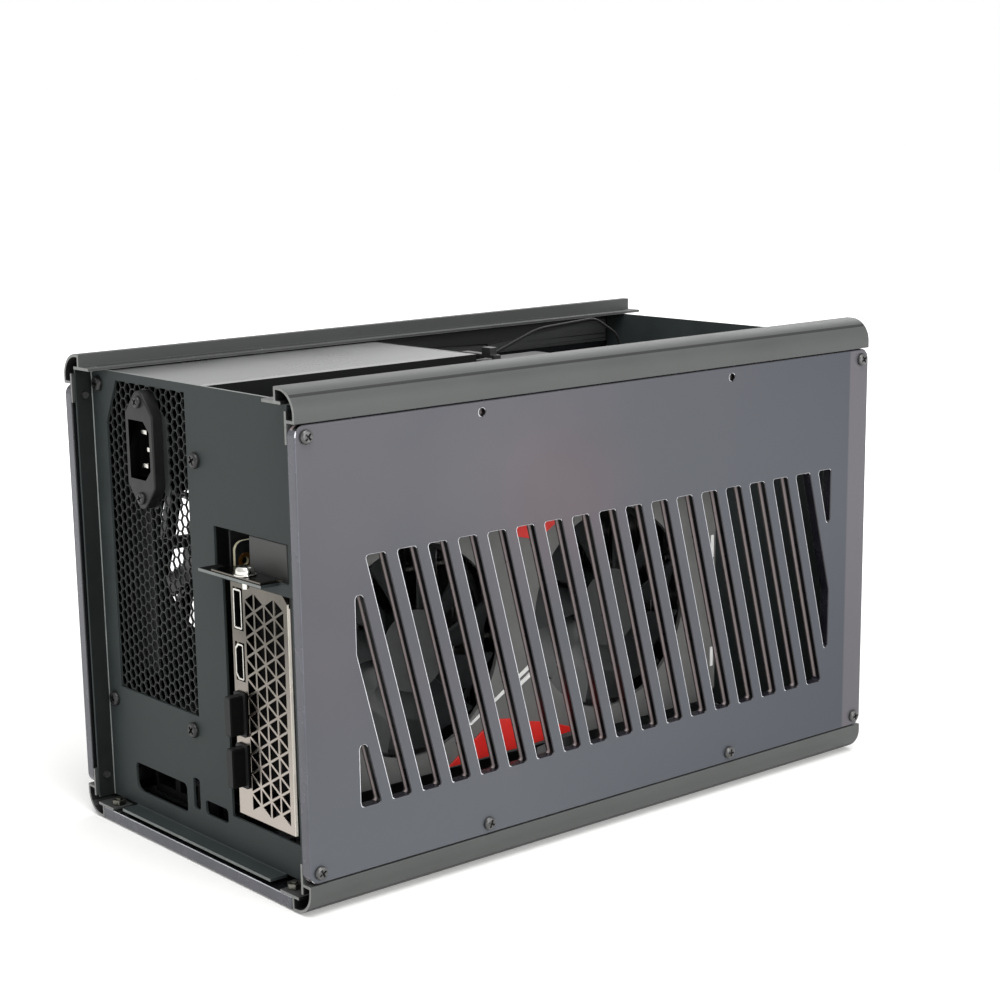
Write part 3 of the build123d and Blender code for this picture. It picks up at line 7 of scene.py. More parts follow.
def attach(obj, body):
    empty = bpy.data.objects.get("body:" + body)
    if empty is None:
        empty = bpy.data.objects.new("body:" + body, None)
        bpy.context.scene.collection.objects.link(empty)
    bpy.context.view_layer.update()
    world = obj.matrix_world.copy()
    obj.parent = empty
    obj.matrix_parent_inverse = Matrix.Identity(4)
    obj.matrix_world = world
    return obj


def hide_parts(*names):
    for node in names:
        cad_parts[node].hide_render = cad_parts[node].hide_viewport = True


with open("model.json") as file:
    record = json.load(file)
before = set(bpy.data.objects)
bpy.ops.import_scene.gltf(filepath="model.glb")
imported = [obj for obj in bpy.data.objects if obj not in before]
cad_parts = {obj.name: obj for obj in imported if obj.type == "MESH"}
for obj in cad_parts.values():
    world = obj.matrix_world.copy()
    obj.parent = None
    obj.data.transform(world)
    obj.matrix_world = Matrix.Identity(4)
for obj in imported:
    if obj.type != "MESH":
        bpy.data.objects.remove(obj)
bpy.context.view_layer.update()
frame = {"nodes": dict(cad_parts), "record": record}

mm = 0.001
nodes = frame["nodes"]
slotOf = {row["node"]: row["material_slot"] for row in frame["record"]["subparts"]}
# how a plate drawn in the XY plane is stood up to face along each axis
turns = {"X": (math.pi / 2, 0, math.pi / 2), "Y": (math.pi / 2, 0, 0), "Z": (0, 0, 0)}
# how squarely a face looks along an axis, by the part of its normal that lies on it
edgeOn, halfOn, squareOn, flatOn = 0.3, 0.5, 0.97, 0.99
# points closer than this are welded, and faces closer than this in height lie on one level
weldGap, levelGap = 0.002, 0.02
print("frame loaded:", len(nodes), "nodes")


# small tools shared by the pieces

def deselectAll():
    if bpy.context.mode != "OBJECT":
        bpy.ops.object.mode_set(mode="OBJECT")
    bpy.ops.object.select_all(action="DESELECT")


def makeActive(piece):
    deselectAll()
    piece.select_set(True)
    bpy.context.view_layer.objects.active = piece
    return piece


def editAll(piece):
    # leaves edit mode on, with the whole mesh selected
    makeActive(piece)
    bpy.ops.object.mode_set(mode="EDIT")
    bpy.ops.mesh.select_all(action="SELECT")


def endEdit():
    bpy.ops.object.mode_set(mode="OBJECT")


def pick(piece, kind, members, wanted):
    # leaves edit mode on, with only the wanted points, edges or faces selected
    makeActive(piece)
    bpy.ops.object.mode_set(mode="EDIT")
    bpy.ops.mesh.select_mode(type=kind)
    bpy.ops.mesh.select_all(action="DESELECT")
    endEdit()
    for member in getattr(piece.data, members):
        member.select = bool(wanted(member))
    bpy.ops.object.mode_set(mode="EDIT")


def pickFaces(piece, wanted):
    pick(piece, "FACE", "polygons", wanted)


def pickEdges(piece, wanted):
    # edges are told by the places of their two ends
    pick(piece, "EDGE", "edges", lambda edge: wanted(*[piece.data.vertices[end].co for end in edge.vertices]))


def deleteFaces(piece, unwanted):
    pickFaces(piece, unwanted)
    bpy.ops.mesh.delete(type="FACE")


def applyModifier(piece, kind, **settings):
    makeActive(piece)
    modifier = piece.modifiers.new(kind.lower(), kind)
    for key, value in settings.items():
        setattr(modifier, key, value)
    bpy.ops.object.modifier_apply(modifier=modifier.name)


def breakEdges(piece, width, segments, degrees=40, **settings):
    applyModifier(piece, "BEVEL", width=width * mm, segments=segments, limit_method="ANGLE",
                  angle_limit=math.radians(degrees), **settings)


def cutAway(piece, cutter):
    applyModifier(piece, "BOOLEAN", operation="DIFFERENCE", solver="EXACT", object=cutter)
    bpy.data.objects.remove(cutter)


def applyPlace(piece):
    makeActive(piece)
    bpy.ops.object.transform_apply(location=True, rotation=True, scale=True)
    return piece


def block(centre, size):
    # a box to be shaped further, in mm
    deselectAll()
    bpy.ops.mesh.primitive_cube_add(size=1, location=[part * mm for part in centre])
    piece = bpy.context.active_object
    piece.scale = [part * mm for part in size]
    return applyPlace(piece)


def rod(centre, radius, long, sides=40):
    # a round bar to be shaped further, in mm
    deselectAll()
    bpy.ops.mesh.primitive_cylinder_add(vertices=sides, radius=radius * mm, depth=long * mm,
                                        location=[part * mm for part in centre])
    return applyPlace(bpy.context.active_object)


def tidyMesh(piece):
    # welds touching points and turns every face outward
    editAll(piece)
    bpy.ops.mesh.remove_doubles(threshold=weldGap * mm)
    bpy.ops.mesh.normals_make_consistent(inside=False)
    endEdit()
    return piece


def trim(piece, place, direction, **cleared):
    # cuts a closed piece along a plane and closes the cut
    editAll(piece)
    bpy.ops.mesh.bisect(plane_co=[part * mm for part in place], plane_no=direction, use_fill=True, **cleared)
    endEdit()


def smooth(piece, degrees=40):
    # soft edges, while the large flat faces keep their own direction
    makeActive(piece)
    bpy.ops.object.shade_smooth_by_angle(angle=math.radians(degrees))
    applyModifier(piece, "WEIGHTED_NORMAL", keep_sharp=True, weight=80)
    return piece


def settle(piece, name, finish, slot, *stoodFor, body="chassis"):
    # place into the mesh, name, body and finish
    applyPlace(piece)
    piece.name = name
    piece.data.name = name
    if finish is not None:
        piece.data.materials.clear()
        piece.data.materials.append(finish)
    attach(piece, body)
    if stoodFor:
        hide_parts(*stoodFor)
    return piece


def paintFaces(piece, finishes, finishFor):
    # adds finishes to a piece and gives them to its faces; a face that is given none keeps its own
    for finish in finishes:
        piece.data.materials.append(finish)
    spots = {finish.name: spot for spot, finish in enumerate(piece.data.materials)}
    for face in piece.data.polygons:
        finish = finishFor(face)
        if finish is not None:
            face.material_index = spots[finish.name]


def copyOfNode(nodeName):
    # a welded copy of a CAD node, free of its links to the frame
    makeActive(nodes[nodeName])
    bpy.ops.object.duplicate()
    piece = bpy.context.active_object
    piece.parent = None
    piece.rotation_mode = "XYZ"
    for key in [k for k in piece.keys() if k.startswith("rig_")]:
        del piece[key]
    piece.hide_render = False
    editAll(piece)
    bpy.ops.mesh.remove_doubles(threshold=weldGap * mm)
    endEdit()
    piece.data.materials.clear()
    return piece


def softened(nodeName, newName, finish, width, segments=2, body="chassis", degrees=35, slimmer=0):
    # the CAD shape with its sharp edges broken, as pressing, moulding or deburring leaves them
    piece = copyOfNode(nodeName)
    if slimmer > 0:
        pickFaces(piece, lambda face: True)
        bpy.ops.transform.shrink_fatten(value=-slimmer * mm)
        endEdit()
    if width > 0:
        breakEdges(piece, width, segments, 30, use_clamp_overlap=True, miter_outer="MITER_ARC")
    smooth(piece, degrees)
    return settle(piece, newName, finish, slotOf[nodeName], nodeName, body=body)


def joined(pieces):
    deselectAll()
    for piece in pieces:
        piece.select_set(True)
    bpy.context.view_layer.objects.active = pieces[0]
    if len(pieces) > 1:
        bpy.ops.object.join()
    return bpy.context.active_object


def placedCopy(piece, place, turn):
    makeActive(piece)
    bpy.ops.object.duplicate()
    twin = bpy.context.active_object
    twin.location = place
    twin.rotation_euler = turn
    return applyPlace(twin)


def loopsOfNode(nodeName, axis, level):
    # the outline and holes of one flat face of a CAD sheet, laid down in the XY plane
    piece = copyOfNode(nodeName)
    spot = "XYZ".index(axis)
    deleteFaces(piece, lambda face: abs(face.normal[spot]) < flatOn
                or abs(face.center[spot] - level * mm) > levelGap * mm)
    bpy.ops.mesh.select_all(action="SELECT")
    bpy.ops.mesh.region_to_loop()
    bpy.ops.mesh.select_all(action="INVERT")
    bpy.ops.mesh.delete(type="EDGE")
    bpy.ops.mesh.select_all(action="SELECT")
    bpy.ops.mesh.delete(type="ONLY_FACE")
    endEdit()
    piece.rotation_euler = Euler(turns[axis]).to_matrix().inverted().to_euler()
    applyPlace(piece)
    piece.location.z = -piece.data.vertices[0].co.z
    return applyPlace(piece)


def plateFromLoops(loops, axis, thick, centre, soft, rounds=2, slim=0.0):
    # closed loops filled as one plate with rounded rims, then stood where it belongs
    makeActive(loops)
    bpy.ops.object.convert(target="CURVE")
    plate = bpy.context.active_object
    plate.data.dimensions = "2D"
    plate.data.fill_mode = "BOTH"
    plate.data.extrude = (thick / 2 - soft) * mm
    plate.data.bevel_depth = soft * mm
    plate.data.bevel_resolution = rounds
    plate.data.offset = -(soft + slim) * mm
    bpy.ops.object.convert(target="MESH")
    plate = bpy.context.active_object
    plate.rotation_euler = turns[axis]
    plate.location["XYZ".index(axis)] = centre * mm
    applyPlace(plate)
    return tidyMesh(plate)


def loosePlaces(nodeName):
    # the box of each separate solid of a CAD node
    editAll(copyOfNode(nodeName))
    bpy.ops.mesh.separate(type="LOOSE")
    endEdit()
    boxes = []
    for part in list(bpy.context.selected_objects):
        points = [point.co for point in part.data.vertices]
        boxes.append([[end(point[axis] for point in points) for axis in range(3)] for end in (min, max)])
        bpy.data.objects.remove(part)
    return sorted(boxes)


# finishes

def linear(hexColour):
    # sRGB hex to the linear values that the shader wants
    channels = [int(hexColour[i:i + 2], 16) / 255 for i in (1, 3, 5)]
    return tuple(c / 12.92 if c <= 0.04045 else ((c + 0.055) / 1.055) ** 2.4 for c in channels) + (1.0,)


def addNode(tree, kind, links=(), inputs=(), stops=(), **settings):
    node = tree.nodes.new(kind)
    for key, value in settings.items():
        setattr(node, key, value)
    for key, value in dict(inputs).items():
        node.inputs[key].default_value = value
    for key, source in dict(links).items():
        tree.links.new(source, node.inputs[key])
    for spot, (position, colour) in enumerate(stops):
        if spot >= len(node.color_ramp.elements):
            node.color_ramp.elements.new(position)
        node.color_ramp.elements[spot].position = position
        node.color_ramp.elements[spot].color = colour
    return node


def blankFinish(name):
    material = bpy.data.materials.new(name)
    material.use_nodes = True
    tree = material.node_tree
    tree.nodes.clear()
    shader = addNode(tree, "ShaderNodeBsdfPrincipled")
    addNode(tree, "ShaderNodeOutputMaterial", {"Surface": shader.outputs["BSDF"]})
    place = addNode(tree, "ShaderNodeTexCoord").outputs["Object"]
    return material, tree, shader, place


def grey(value):
    return (value, value, value, 1.0)


# what a made surface has unless its own finish says otherwise
plainLook = {"metallic": 0.0, "specular": 0.5, "grainMm": 1.0, "stretch": (1, 1, 1), "grain": 0.05,
             "depthMm": 0.05}


def plainFinish(name, dark, light, **own):
    # a made surface: mottled colour, uneven gloss and a fine grain, all from real sizes
    look = {**plainLook, **own}
    material, tree, shader, place = blankFinish(name)
    patches = addNode(tree, "ShaderNodeTexNoise", {"Vector": place},
                      {"Scale": 1 / (look["patchMm"] * mm), "Detail": 4.0, "Roughness": 0.6})
    tone = addNode(tree, "ShaderNodeValToRGB", {"Fac": patches.outputs["Fac"]},
                   stops=[(0.3, linear(dark)), (0.7, linear(light))])
    tree.links.new(tone.outputs["Color"], shader.inputs["Base Color"])
    gloss = addNode(tree, "ShaderNodeValToRGB", {"Fac": patches.outputs["Fac"]},
                    stops=[(0.25, grey(look["rough"][0])), (0.75, grey(look["rough"][1]))])
    tree.links.new(gloss.outputs["Color"], shader.inputs["Roughness"])
    shader.inputs["Metallic"].default_value = look["metallic"]
    if "ior" in look:
        shader.inputs["IOR"].default_value = look["ior"]
    shader.inputs["Specular IOR Level"].default_value = look["specular"]
    if "below" in look:
        # a painted reflection of the floor: paler toward the bottom
        low, high, pale = look["below"]
        height = addNode(tree, "ShaderNodeSeparateXYZ", {"Vector": place}).outputs["Z"]
        down = addNode(tree, "ShaderNodeMapRange", {"Value": height}, {"From Min": high * mm, "From Max": low * mm})
        blend = addNode(tree, "ShaderNodeMix", {0: down.outputs["Result"], 6: tone.outputs["Color"]},
                        {7: linear(pale)}, data_type="RGBA")
        tree.links.new(blend.outputs[2], shader.inputs["Base Color"])
    if "glow" in look:
        # a painted glow: the surface gives off its own colour as a painted highlight
        tree.links.new(tone.outputs["Color"], shader.inputs["Emission Color"])
        shader.inputs["Emission Strength"].default_value = look["glow"]
    if "coat" in look:
        shader.inputs["Coat Weight"].default_value = look["coat"]
        shader.inputs["Coat Roughness"].default_value = look["coatRough"]
    stretched = addNode(tree, "ShaderNodeMapping", {"Vector": place}, {"Scale": look["stretch"]})
    grain = addNode(tree, "ShaderNodeTexNoise", {"Vector": stretched.outputs["Vector"]},
                    {"Scale": 1 / (look["grainMm"] * mm), "Detail": 2.0})
    relief = addNode(tree, "ShaderNodeBump", {"Height": grain.outputs["Fac"]},
                     {"Strength": look["grain"], "Distance": look["depthMm"] * mm})
    tree.links.new(relief.outputs["Normal"], shader.inputs["Normal"])
    return material


# drawn aluminium, bead-blasted and dyed dark: satin, with faint draw lines along the rail
railFinish = plainFinish(
    "darkAnodisedAluminium", "#3c3e3d", "#424443", metallic=0.15, rough=(0.5, 0.6), patchMm=30, grainMm=1.2,
    stretch=(0.02, 1, 1))
# the far top rail: the same dye painted darker, as painted shade and a painted reflection of the dark inside of the
# case
railFarShadeFinish = plainFinish(
    "darkAnodisedFarRail", "#313332", "#373938", metallic=0.15, rough=(0.5, 0.6), patchMm=30, grainMm=1.2,
    stretch=(0.02, 1, 1))
# sawn ends of the rail, pale where the cut bares the metal, and its low shelf rims, painted pale as a painted
# highlight
railCutGlintFinish = plainFinish(
    "wornAnodisedRim", "#6b6d6b", "#868886", metallic=0.2, rough=(0.35, 0.45), patchMm=8, grainMm=0.8)
# the same dye inside the drawn hollow, painted near black as painted shade
railHollowShadeFinish = plainFinish(
    "darkAnodisedHollow", "#121313", "#181919", metallic=0.2, rough=(0.5, 0.6), patchMm=20, grainMm=1.2,
    stretch=(0.02, 1, 1), grain=0.08)
# powder-coated sheet steel: dull, slightly green grey, with a fine pebble
plateFinish = plainFinish(
    "powderCoatedSteel", "#2e3434", "#363c3c", specular=0.2, rough=(0.5, 0.6), patchMm=25, grainMm=0.9, grain=0.12,
    depthMm=0.04)
# the same coat in the fold of the end panel, where little light comes
plateFoldFinish = plainFinish(
    "powderCoatedFold", "#171a1a", "#1d2020", specular=0.2, rough=(0.5, 0.6), patchMm=25, grainMm=0.9, grain=0.12,
    depthMm=0.04)
# sheared rims of the end panel, painted pale as a painted highlight
plateRimGlintFinish = plainFinish(
    "rubbedSteelRim", "#5f6462", "#7c817f", metallic=0.3, rough=(0.35, 0.45), patchMm=10, grainMm=0.9, grain=0.08,
    depthMm=0.04)
# blackened steel screws, worn a little grey on the heads
blackScrewFinish = plainFinish(
    "blackenedSteel", "#4a4a4a", "#5c5c5c", metallic=0.7, rough=(0.26, 0.4), patchMm=2, grainMm=0.4)
# the supply's screws, which are blacker
darkScrewFinish = plainFinish(
    "blackOxideSteel", "#2a2a2a", "#393939", metallic=0.6, rough=(0.28, 0.4), patchMm=2, grainMm=0.4)
# bright zinc plate on the card's screw
zincFinish = plainFinish(
    "brightZincPlate", "#b9b8b2", "#d6d5cf", metallic=1.0, rough=(0.12, 0.25), patchMm=2, grainMm=0.4)
# dull zinc on the nuts and the board's screws
dullZincFinish = plainFinish(
    "dullZincPlate", "#56564f", "#77766f", metallic=1.0, rough=(0.25, 0.4), patchMm=2, grainMm=0.4, grain=0.06)
# turned brass
brassFinish = plainFinish(
    "turnedBrass", "#b08a3c", "#caa452", metallic=1.0, rough=(0.22, 0.34), patchMm=2, grainMm=0.4)
# semi-gloss black lacquer on the supply's steel, which goes pale at a low angle
supplyFinish = plainFinish(
    "semiGlossBlackLacquer", "#2c2d2d", "#343535", rough=(0.12, 0.18), patchMm=40, grain=0.02, ior=1.9)
# the lacquer on the supply's cover, more satin, so it mirrors less of the rails
coverFinish = plainFinish(
    "satinBlackLacquer", "#434444", "#4c4d4d", rough=(0.26, 0.32), patchMm=40, grain=0.02, ior=1.9)
# the same lacquer on the pierced end, dulled by the piercing
combFinish = plainFinish("piercedBlackLacquer", "#292b2b", "#323434", specular=0.25, rough=(0.4, 0.5), patchMm=30)
# its long sides, duller and painted near black as painted shade
supplySideShadeFinish = plainFinish(
    "dullBlackLacquer", "#0b0c0c", "#101111", specular=0.15, rough=(0.5, 0.6), patchMm=30)
# black coated fan wire
wireFinish = plainFinish(
    "blackCoatedWire", "#1b1b1b", "#242424", rough=(0.35, 0.45), patchMm=4, grainMm=0.5, grain=0.04)
# moulded black nylon and ABS
mouldingFinish = plainFinish(
    "blackMouldedPlastic", "#101111", "#171818", rough=(0.42, 0.55), patchMm=6, grainMm=0.6, grain=0.1,
    depthMm=0.03)
# soft black caps in the unused sockets
capFinish = plainFinish(
    "softBlackElastomer", "#191a1a", "#212222", specular=0.25, rough=(0.5, 0.6), patchMm=5, grainMm=0.6, grain=0.1,
    depthMm=0.03)
# the inlet's moulding, a little greyer where light catches it
inletFinish = plainFinish(
    "inletMouldedPlastic", "#0b0c0b", "#121312", specular=0.3, rough=(0.4, 0.5), patchMm=6, grainMm=0.6, grain=0.08,
    depthMm=0.03)
# insides of sockets, ports and the inlet, and faces turned from the light: matt black, darkened further as painted
# shade
cavityShadeFinish = plainFinish(
    "mattBlackCavity", "#040404", "#070707", specular=0.1, rough=(0.7, 0.8), patchMm=6, grainMm=0.6)
# nickel-plated shells and pins
contactFinish = plainFinish(
    "nickelPlatedContacts", "#b4b2ac", "#d0cec8", metallic=1.0, rough=(0.16, 0.26), patchMm=2, grainMm=0.3,
    grain=0.04)
# the card bracket: stamped steel under dull warm nickel, paler toward its foot as a painted reflection of the floor
bracketFinish = plainFinish(
    "dullNickelPlate", "#54514b", "#64605a", metallic=1.0, below=(26, 104, "#b9b0a8"), rough=(0.2, 0.3), patchMm=14,
    grainMm=0.7, stretch=(1, 1, 0.15), grain=0.04, depthMm=0.03)
# the bracket's rolled lip, painted pale and glowing as a painted highlight
lipGlintFinish = plainFinish(
    "polishedNickelLip", "#d9d3c8", "#ece7dd", metallic=0.3, glow=0.35, rough=(0.2, 0.3), patchMm=14, grainMm=0.7,
    stretch=(1, 1, 0.15), grain=0.03)
# the top of its flange, painted dark as a painted reflection of the dark plate above
flangeReflectionFinish = plainFinish(
    "dullNickelFlange", "#1c1b1a", "#262523", metallic=1.0, rough=(0.2, 0.3), patchMm=9, grainMm=0.7, grain=0.04)
# solder mask over glass laminate, and the laminate's cut edge
boardFinish = plainFinish(
    "blackSolderMask", "#121415", "#1a1c1d", rough=(0.3, 0.4), patchMm=5, grainMm=0.8, grain=0.06, ior=1.55)
laminateFinish = plainFinish(
    "cutGlassLaminate", "#b9b391", "#d8d4b8", rough=(0.4, 0.55), patchMm=2, grainMm=0.3, grain=0.1)
greenBoardFinish = plainFinish(
    "greenSolderMask", "#1f4f30", "#2b6440", rough=(0.3, 0.4), patchMm=5, grainMm=0.8, grain=0.06, ior=1.55)
# gold flash over copper round the board's corner hole
ringFinish = plainFinish(
    "goldFlashedCopper", "#7a5226", "#94672f", metallic=0.8, rough=(0.25, 0.4), patchMm=2, grainMm=0.3)
# yellow polyester tape round ferrite
tapeFinish = plainFinish("yellowPolyesterTape", "#a88d33", "#c2a544", rough=(0.35, 0.5), patchMm=6, grain=0.06)
# shrunk sleeve on the capacitors
sleeveFinish = plainFinish("shrunkCapacitorSleeve", "#22222f", "#2c2c3c", rough=(0.25, 0.35), patchMm=6, grain=0.04)
# rolled aluminium fins
finFinish = plainFinish(
    "rolledAluminium", "#9b9b99", "#b4b4b2", metallic=1.0, rough=(0.3, 0.42), patchMm=6, grainMm=0.8,
    stretch=(1, 1, 0.1), grain=0.06)
# the card's backplate: brushed and dyed black
backplateFinish = plainFinish(
    "brushedBlackAnodised", "#17181a", "#202123", metallic=0.4, rough=(0.38, 0.5), patchMm=20, grainMm=0.8,
    stretch=(0.03, 1, 1), grain=0.1)
# nickel-plated copper pipe
pipeFinish = plainFinish(
    "nickelPlatedCopper", "#858381", "#9a9896", metallic=1.0, rough=(0.2, 0.3), patchMm=8, grainMm=0.8, grain=0.04)
# the cooler's shroud: moulded ABS with a fine spark-eroded texture
shroudFinish = plainFinish(
    "sparkTexturedShroud", "#646463", "#6e6e6d", rough=(0.45, 0.58), patchMm=12, grainMm=0.8, grain=0.14,
    depthMm=0.04)
# the shroud's end wall, in the shade of the end panel
shroudEndFinish = plainFinish(
    "sparkTexturedEnd", "#464645", "#4f4f4e", rough=(0.45, 0.58), patchMm=12, grainMm=0.8, grain=0.14, depthMm=0.04)
# fan blades: glass-filled nylon
bladeFinish = plainFinish(
    "glassFilledNylon", "#1d1f20", "#262829", rough=(0.3, 0.4), patchMm=8, grainMm=0.6, grain=0.08, depthMm=0.03)
# red lacquer on the shroud's inlays
redFinish = plainFinish(
    "redLacquer", "#e02a26", "#ee3630", rough=(0.28, 0.36), patchMm=14, grain=0.04, coat=0.3, coatRough=0.1)
# pale grey paint lines
paleFinish = plainFinish("palePaint", "#f0f0ee", "#fafaf8", rough=(0.4, 0.5), patchMm=5, grainMm=0.8)
# black rubbery lead sleeves
leadFinish = plainFinish(
    "blackLeadSleeve", "#0b0b0b", "#121212", specular=0.25, rough=(0.42, 0.52), patchMm=6, grainMm=0.6, grain=0.06)

finishOf = {
    "rail_aluminium": railFinish, "coated_steel": plateFinish, "black_screws": blackScrewFinish,
    "zinc_hardware": dullZincFinish, "brass": brassFinish, "supply_steel": supplyFinish, "guard_wire": wireFinish,
    "black_plastic": mouldingFinish, "contact_metal": contactFinish, "bracket_nickel": bracketFinish,
    "black_board": boardFinish, "green_board": greenBoardFinish, "transformer_tape": tapeFinish,
    "capacitor_sleeve": sleeveFinish, "fin_aluminium": finFinish, "heat_pipe_nickel": pipeFinish,
    "shroud_plastic": shroudFinish, "red_accent": redFinish, "pale_paint": paleFinish, "lead_sleeve": leadFinish,
}

acrylicIor = 1.49
# smoke acrylic: its tones, and the places in mm between which one gives way to the next; foot, deep and end are
# painted light and shade, red a painted glow
acrylicLook = {"dark": "#47494e", "light": "#514f54", "hazeMm": 90, "foot": (90, 22, "#4f5257"),
               "deep": (-60, 150, "#3c4047"), "end": (146.2, 147.2, "#535156"), "red": "#a03a3c",
               "smearMm": 35, "rough": (0.11, 0.16), "specular": 0.22}


def acrylicFace(name, side, glow=None):
    # cast acrylic sheet, smoke grey: a polished face over a cloudy body, with painted light and shade: paler toward
    # the foot, darker toward one end, paler at its end where nothing stands behind it, and a faint painted red glow
    # where red stands behind it
    look = acrylicLook
    material, tree, shader, place = blankFinish(name)
    haze = addNode(tree, "ShaderNodeTexNoise", {"Vector": place},
                   {"Scale": 1 / (look["hazeMm"] * mm), "Detail": 3.0, "Roughness": 0.5})
    tone = addNode(tree, "ShaderNodeValToRGB", {"Fac": haze.outputs["Fac"]},
                   stops=[(0.3, linear(look["dark"])), (0.7, linear(look["light"]))])
    colour = tone.outputs["Color"]
    parts = addNode(tree, "ShaderNodeSeparateXYZ", {"Vector": place})
    for axis, way, band in (("Z", 1, "foot"), ("X", side, "deep"), ("X", side, "end")):
        start, stop, shade = look[band]
        share = addNode(tree, "ShaderNodeMapRange", {"Value": parts.outputs[axis]},
                        {"From Min": way * start * mm, "From Max": way * stop * mm})
        colour = addNode(tree, "ShaderNodeMix", {0: share.outputs["Result"], 6: colour}, {7: linear(shade)},
                         data_type="RGBA").outputs[2]
    # a painted red glow where the red inlays stand behind the sheet
    if glow:
        near = addNode(tree, "ShaderNodeVectorMath", {0: place}, {1: [part * mm for part in glow["at"]]},
                       operation="DISTANCE")
        warm = addNode(tree, "ShaderNodeMapRange", {"Value": near.outputs["Value"]},
                       {"From Min": glow["reach"] * mm, "From Max": 0.0, "To Max": glow["share"]},
                       interpolation_type="SMOOTHERSTEP")
        colour = addNode(tree, "ShaderNodeMix", {0: warm.outputs["Result"], 6: colour}, {7: linear(look["red"])},
                         data_type="RGBA").outputs[2]
    tree.links.new(colour, shader.inputs["Base Color"])
    smears = addNode(tree, "ShaderNodeTexNoise", {"Vector": place},
                     {"Scale": 1 / (look["smearMm"] * mm), "Detail": 5.0, "Roughness": 0.6})
    gloss = addNode(tree, "ShaderNodeValToRGB", {"Fac": smears.outputs["Fac"]},
                    stops=[(0.3, grey(look["rough"][0])), (0.75, grey(look["rough"][1]))])
    tree.links.new(gloss.outputs["Color"], shader.inputs["Roughness"])
    shader.inputs["IOR"].default_value = acrylicIor
    shader.inputs["Specular IOR Level"].default_value = look["specular"]
    return material


# the cut wall's tones from the outer face to the inner one, as shares of its depth: painted light, with a painted
# glow
cutLook = {"bands": ((0.0, "#060507"), (0.42, "#0b0a0c"), (0.5, "#857b7c"), (0.72, "#b0a4a3"),
                     (0.82, "#4a4345"), (1.0, "#1c191b")),
           "glow": 0.16, "streakMm": 3, "rough": (0.25, 0.4)}


def acrylicEdge(name, outerY, innerY):
    # the laser-cut wall of the sheet, painted light: black outside, a pale painted band of light within, dim again at
    # the inner face
    material, tree, shader, place = blankFinish(name)
    depth = addNode(tree, "ShaderNodeSeparateXYZ", {"Vector": place}).outputs["Y"]
    share = addNode(tree, "ShaderNodeMapRange", {"Value": depth}, {"From Min": outerY * mm, "From Max": innerY * mm})
    band = addNode(tree, "ShaderNodeValToRGB", {"Fac": share.outputs["Result"]},
                   stops=[(position, linear(shade)) for position, shade in cutLook["bands"]])
    tree.links.new(band.outputs["Color"], shader.inputs["Base Color"])
    # a faint painted glow in the band's colour
    tree.links.new(band.outputs["Color"], shader.inputs["Emission Color"])
    shader.inputs["Emission Strength"].default_value = cutLook["glow"]
    streaks = addNode(tree, "ShaderNodeTexNoise", {"Vector": place},
                      {"Scale": 1 / (cutLook["streakMm"] * mm), "Detail": 3.0})
    gloss = addNode(tree, "ShaderNodeValToRGB", {"Fac": streaks.outputs["Fac"]},
                    stops=[(0.3, grey(cutLook["rough"][0])), (0.7, grey(cutLook["rough"][1]))])
    tree.links.new(gloss.outputs["Color"], shader.inputs["Roughness"])
    shader.inputs["IOR"].default_value = acrylicIor
    return material


# side panels: the sheets redrawn with rounded rims, each wall finished for the way it faces, with painted highlights
# and painted shade
panelLook = {"thick": 5.0, "outer": 84.8, "middle": 82.3, "inner": 79.8, "soft": 0.5, "end": 158.3, "low": 14.0,
             "high": 190.0, "navy": 126.0, "bright": 178.0, "spare": (70.0, 186.1), "around": 3.0,
             "turned": 0.15, "lit": 0.4}

# bright line where the cut edge of the acrylic gathers light
glintFinish = plainFinish(
    "acrylicEdgeGlint", "#b4b6bb", "#d9dbdf", rough=(0.15, 0.25), patchMm=20, grain=0.02, ior=acrylicIor)
# walls and rims of the sheet that look down or away, and the rims along the rails: the smoke tint seen through the
# sheet's depth, darkened as painted shade and as painted dark gap lines
darkEdgeShadeFinish = plainFinish(
    "deepSmokeAcrylicEdge", "#15141a", "#201f26", rough=(0.2, 0.32), patchMm=12, grainMm=1.5, grain=0.04,
    ior=acrylicIor)
# sawn and flame-polished ends of the sheet, lilac grey
endEdgeFinish = plainFinish(
    "polishedAcrylicEnd", "#494a52", "#54555e", rough=(0.2, 0.32), patchMm=20, grainMm=1.5, grain=0.03,
    ior=acrylicIor)
# the sheet's inner face, painted near black as painted shade, since it only sees the dark inside
innerFaceFinish = plainFinish(
    "smokeAcrylicInside", "#0d0e10", "#131416", rough=(0.2, 0.3), patchMm=60, grainMm=3.0, grain=0.01,
    ior=acrylicIor)
# the front sheet's painted red glow, from the red inlays behind it
frontFaceFinish = acrylicFace("smokeAcrylicFront", 1, {"at": (-26, -84.8, 144), "reach": 58, "share": 0.045})
backFaceFinish = acrylicFace("smokeAcrylicBack", -1)
frontEdgeFinish = acrylicEdge("laserCutAcrylicFront", -panelLook["outer"], -panelLook["inner"])
backEdgeFinish = acrylicEdge("laserCutAcrylicBack", panelLook["outer"], panelLook["inner"])
print("finishes ready:", len(bpy.data.materials))

for nodeName, node in nodes.items():
    node.data.materials.clear()
    node.data.materials.append(finishOf.get(slotOf[nodeName], frontFaceFinish))
nodes["card_backplate"].data.materials[0] = backplateFinish


